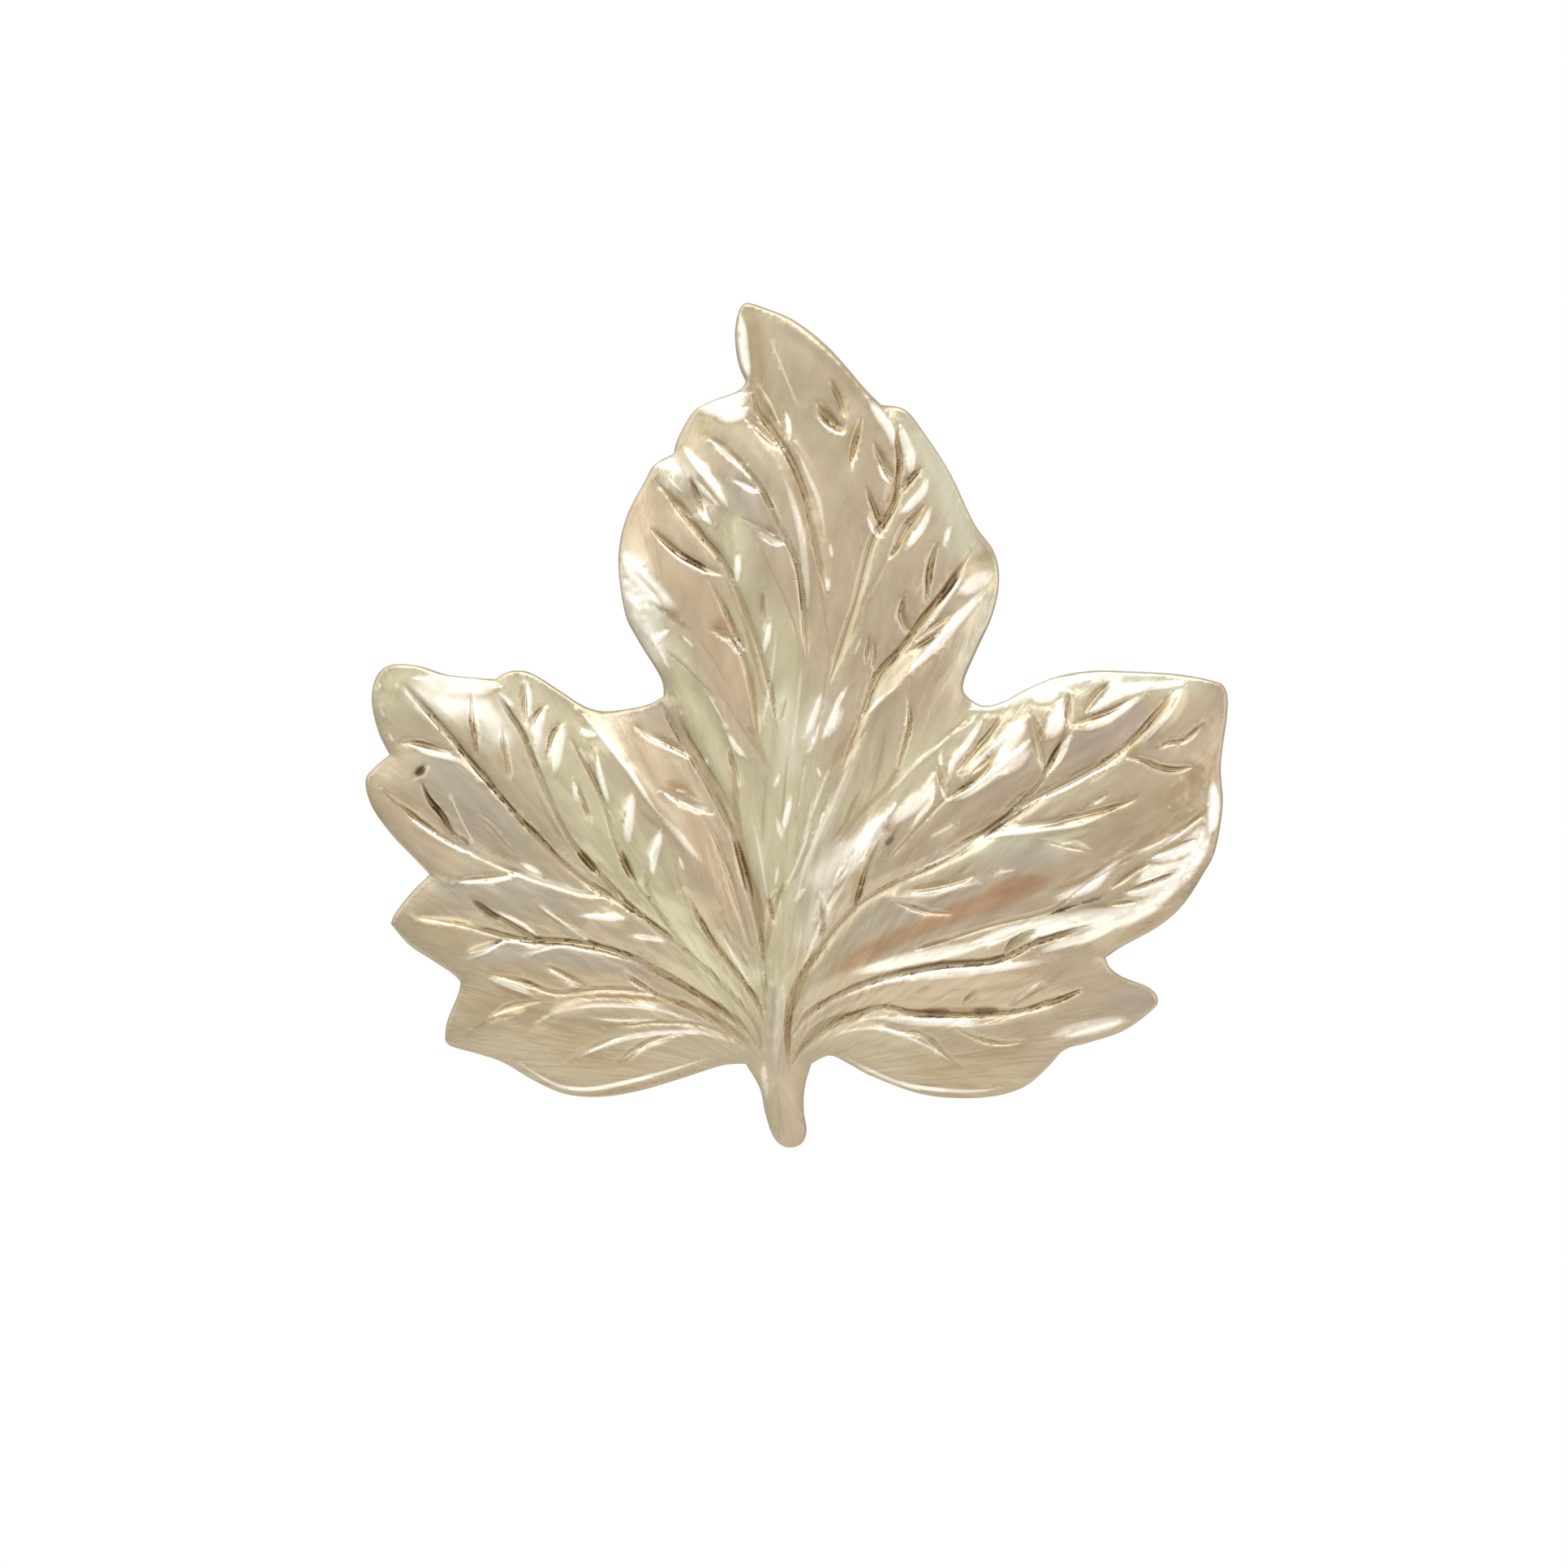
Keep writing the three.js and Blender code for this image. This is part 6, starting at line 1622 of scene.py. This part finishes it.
def new_group(name, sockets):
    """An empty node group with number inputs, and its input sockets by name."""
    group = bpy.data.node_groups.new(name, "GeometryNodeTree")
    group.interface.new_socket("Geometry", in_out="INPUT", socket_type="NodeSocketGeometry")
    inputs = {key: group.interface.new_socket(key, in_out="INPUT", socket_type="NodeSocketFloat")
              for key in sockets}
    group.interface.new_socket("Geometry", in_out="OUTPUT", socket_type="NodeSocketGeometry")
    return group, inputs, group.nodes.new("NodeGroupInput"), group.nodes.new("NodeGroupOutput")


def end_group(group, output, geometry, material):
    """Ends a group: its copies become mesh, and the mesh gets its metal."""
    real = node(group, "GeometryNodeRealizeInstances")
    smooth = node(group, "GeometryNodeSetShadeSmooth")
    metal = node(group, "GeometryNodeSetMaterial", Material=material)
    wire(
        group,
        (geometry, real.inputs[0]),
        (real.outputs[0], smooth.inputs[0]),
        (smooth.outputs[0], metal.inputs[0]),
        (metal.outputs[0], output.inputs[0]),
    )


def grown(name, mesh, group, inputs, values):
    """The piece that a node group makes from a mesh."""
    piece = bpy.data.objects.new(name, mesh)
    bpy.context.scene.collection.objects.link(piece)
    modifier = piece.modifiers.new("grow", "NODES")
    modifier.node_group = group
    for key, value in values.items():
        modifier[inputs[key].identifier] = value
    result = evaluated_mesh(piece)
    piece.modifiers.remove(modifier)
    piece.data = result
    return piece


LUMPS = 1400.0       # per metre
PLATE_BEAD, FOOT_BEAD, UNEVENNESS = 0.17, 0.12, 0.12

bead, bead_inputs, bead_in, bead_out = new_group("solder_bead", ("Radius", "Unevenness"))
seam = node(bead, "GeometryNodeMeshToCurve")
seam_points = node(bead, "GeometryNodeResampleCurve", Count=240)
section = node(bead, "GeometryNodeCurvePrimitiveCircle", Resolution=10)
swept = node(bead, "GeometryNodeCurveToMesh")
lumps = node(bead, "ShaderNodeTexNoise", Scale=LUMPS, Detail=2.0)
centred = node(bead, "ShaderNodeMath", operation="SUBTRACT")
centred.inputs[1].default_value = 0.5
amount = node(bead, "ShaderNodeMath", operation="MULTIPLY")
outward = node(bead, "GeometryNodeInputNormal")
push = node(bead, "ShaderNodeVectorMath", operation="SCALE")
moved = node(bead, "GeometryNodeSetPosition")
wire(
    bead,
    (bead_in.outputs[0], seam.inputs[0]),
    (seam.outputs[0], seam_points.inputs["Curve"]),
    (bead_in.outputs["Radius"], section.inputs["Radius"]),
    (seam_points.outputs[0], swept.inputs["Curve"]),
    (section.outputs[0], swept.inputs["Profile Curve"]),
    (lumps.outputs[0], centred.inputs[0]),
    (centred.outputs[0], amount.inputs[0]),
    (bead_in.outputs["Unevenness"], amount.inputs[1]),
    (outward.outputs[0], push.inputs[0]),
    (amount.outputs[0], push.inputs["Scale"]),
    (swept.outputs[0], moved.inputs["Geometry"]),
    (push.outputs[0], moved.inputs["Offset"]),
)
end_group(bead, bead_out, moved.outputs[0], finding_silver)

SEAMS = {
    "solder_hinge_plate": (rounded(*PLATE, PLATE_CORNER), HINGE_X, LAND_Z, PLATE_BEAD),
    "solder_catch_plate": (rounded(*PLATE, PLATE_CORNER), CATCH_X, LAND_Z, PLATE_BEAD),
    "solder_hinge_foot": (rounded(*FOOT, 0.3), HINGE_X, PLATE_BACK, FOOT_BEAD),
    "solder_catch_saddle": (rounded(*SADDLE, 0.3), CATCH_X, PLATE_BACK, FOOT_BEAD),
}
for name, (outline, x, z, radius) in SEAMS.items():
    path = np.c_[outline + (x, PIN_Y), np.full(len(outline), z)]
    mesh = bpy.data.meshes.new(name)
    edges = [(i, (i + 1) % len(path)) for i in range(len(path))]
    mesh.from_pydata(in_model(path).tolist(), edges, [])
    solder = grown(name, mesh, bead, bead_inputs,
                   {"Radius": radius * MM, "Unevenness": UNEVENNESS * MM})
    fit(solder, None, "brooch", finding_silver)

# %% [markdown]
# ## Grip
#
# The collar of the lock has fine ridges for the finger. They could be carved one by one, but
# Geometry Nodes repeats one ridge along an arc, so their number is easy to change.

# %% Ridges round the collar
RIDGE_R, RIDGE_COUNT, RIDGE_FIRST, RIDGE_LAST = 0.045, 34, 168, 422
ridges, ridge_inputs, ridge_in, ridge_out = new_group("collar_ridges", ("Radius", "Length"))
ring = node(ridges, "GeometryNodeCurveArc", Resolution=64,
            **{"Start Angle": math.radians(RIDGE_FIRST),
               "Sweep Angle": math.radians(RIDGE_LAST - RIDGE_FIRST)})
ridge_at = node(ridges, "GeometryNodeCurveToPoints", Count=RIDGE_COUNT)
ridge = node(ridges, "GeometryNodeMeshCylinder", Vertices=8, Radius=RIDGE_R * MM)
copies = node(ridges, "GeometryNodeInstanceOnPoints")
laid = node(ridges, "GeometryNodeTransform", Rotation=(0, math.pi / 2, 0),
            Translation=tuple(in_model(catch)[0].tolist()))
wire(
    ridges,
    (ridge_in.outputs["Radius"], ring.inputs["Radius"]),
    (ridge_in.outputs["Length"], ridge.inputs["Depth"]),
    (ring.outputs[0], ridge_at.inputs[0]),
    (ridge_at.outputs[0], copies.inputs["Points"]),
    (ridge.outputs["Mesh"], copies.inputs["Instance"]),
    (copies.outputs[0], laid.inputs[0]),
)
end_group(ridges, ridge_out, laid.outputs[0], finding_silver)
grip = grown("collar_ridges", bpy.data.meshes.new("collar_ridges"), ridges, ridge_inputs,
             {"Radius": (COLLAR_R - 0.01) * MM, "Length": 2 * (COLLAR_HALF - 0.15) * MM})
fit(grip, None, "lock", finding_silver)

# %% [markdown]
# ## Floor, light and camera
#
# The brooch stands up over a plain pale floor in a white room. The room is a little darker and
# warmer below and on the right, so that every fold of the silver has something to reflect. Three
# soft lamps light the face and one the back.

# %% Floor
FLOOR_DROP = 0.085
FLOOR_R = 0.16

bpy.ops.mesh.primitive_circle_add(vertices=96, radius=FLOOR_R, fill_type="NGON",
                                  location=(0, 0, -FLOOR_DROP))
floor = bpy.context.object
floor.name = "floor"
floor_white, _, floor_shader = new_material("floor_white")
floor_shader.inputs["Base Color"].default_value = (0.86, 0.85, 0.83, 1)
floor_shader.inputs["Roughness"].default_value = 0.9
finish(floor, floor_white)

# %% Sky around the brooch
BACKDROP = (1, 1, 1, 1)
ROOM_LOW, ROOM_MIDDLE, ROOM_HIGH = (0.64, 0.58, 0.51, 1), (1.08, 1.05, 0.99, 1), (1.30, 1.29, 1.22, 1)
ROOM_LEFT, ROOM_RIGHT = (1.0, 1.0, 0.94, 1), (1.0, 0.93, 0.90, 1)

world = bpy.data.worlds.new("studio")
bpy.context.scene.world = world
world.use_nodes = True
sky = world.node_tree
sky_shader = sky.nodes["Background"]
direction = node(sky, "ShaderNodeTexCoord")
parts = node(sky, "ShaderNodeSeparateXYZ")
sky.links.new(direction.outputs["Generated"], parts.inputs[0])


def from_to(value, low, high):
    """A socket that turns the value's range low..high into 0..1 with soft ends."""
    share = map_range(sky, value, low, high)
    share.node.interpolation_type = "SMOOTHSTEP"
    return share


def mixed(share, first, second, blend="MIX"):
    """The two colours mixed by a share. Either may be a socket or a plain colour."""
    mix = node(sky, "ShaderNodeMix", data_type="RGBA", blend_type=blend)
    for socket, value in ((0, share), (FIRST, first), (SECOND, second)):
        if isinstance(value, (float, tuple)):
            mix.inputs[socket].default_value = value
        else:
            sky.links.new(value, mix.inputs[socket])
    return mix.outputs[MIXED]


lower_half = mixed(from_to(parts.outputs["Z"], -0.7, 0.0), ROOM_LOW, ROOM_MIDDLE)
room = mixed(from_to(parts.outputs["Z"], 0.0, 0.8), lower_half, ROOM_HIGH)
tint = mixed(from_to(parts.outputs["X"], -0.8, 0.8), ROOM_LEFT, ROOM_RIGHT)
room = mixed(1.0, room, tint, "MULTIPLY")
ray = node(sky, "ShaderNodeLightPath")
sky.links.new(mixed(ray.outputs["Is Camera Ray"], room, BACKDROP), sky_shader.inputs["Color"])
sky_shader.inputs["Strength"].default_value = 1.0

# %% Lights


def soft_light(name, place, size, power, colour):
    """A rectangular lamp that looks at the middle of the pin."""
    data = bpy.data.lights.new(name, "AREA")
    data.shape = "RECTANGLE"
    data.size, data.size_y = size
    data.energy = power
    data.color = colour
    lamp = bpy.data.objects.new(name, data)
    lamp.location = place
    lamp.rotation_euler = (-Vector(place)).to_track_quat("-Z", "Y").to_euler()
    bpy.context.scene.collection.objects.link(lamp)


# name: place, size, power in watts, colour
LIGHTS = {
    "key_left": ((-0.36, -0.26, 0.26), (0.44, 0.46), 0.5, (1.0, 0.99, 0.95)),
    "fill_right": ((0.42, -0.26, 0.02), (0.26, 0.42), 0.26, (1.0, 0.97, 0.94)),
    "top": ((0.05, -0.26, 0.44), (0.46, 0.20), 0.68, (1, 1, 1)),
    "behind": ((-0.16, 0.44, 0.30), (0.30, 0.20), 0.35, (1, 1, 1)),
}
for name, (place, size, power, colour) in LIGHTS.items():
    soft_light(name, place, size, power, colour)
print("lamps:", *LIGHTS)

# %% Camera
CENTRE_ON_BENCH = (0.37, 15.07)
PICTURE_WIDTH = 89.86 * MM
LENS, SENSOR = 85.0, 36.0

camera_data = bpy.data.cameras.new("camera")
camera_data.lens = LENS
camera_data.sensor_width = SENSOR
camera_data.clip_start = 0.01
camera_data.clip_end = 10.0
camera = bpy.data.objects.new("camera", camera_data)
bpy.context.scene.collection.objects.link(camera)
centre = in_model([*CENTRE_ON_BENCH, 1.0])[0]
camera.location = (centre[0], centre[1] - PICTURE_WIDTH * LENS / SENSOR, centre[2])
camera.rotation_euler = (math.pi / 2, 0, 0)
bpy.context.scene.camera = camera
print("the camera stands at", [round(value, 3) for value in camera.location])
bpy.context.scene.view_settings.view_transform = "Standard"
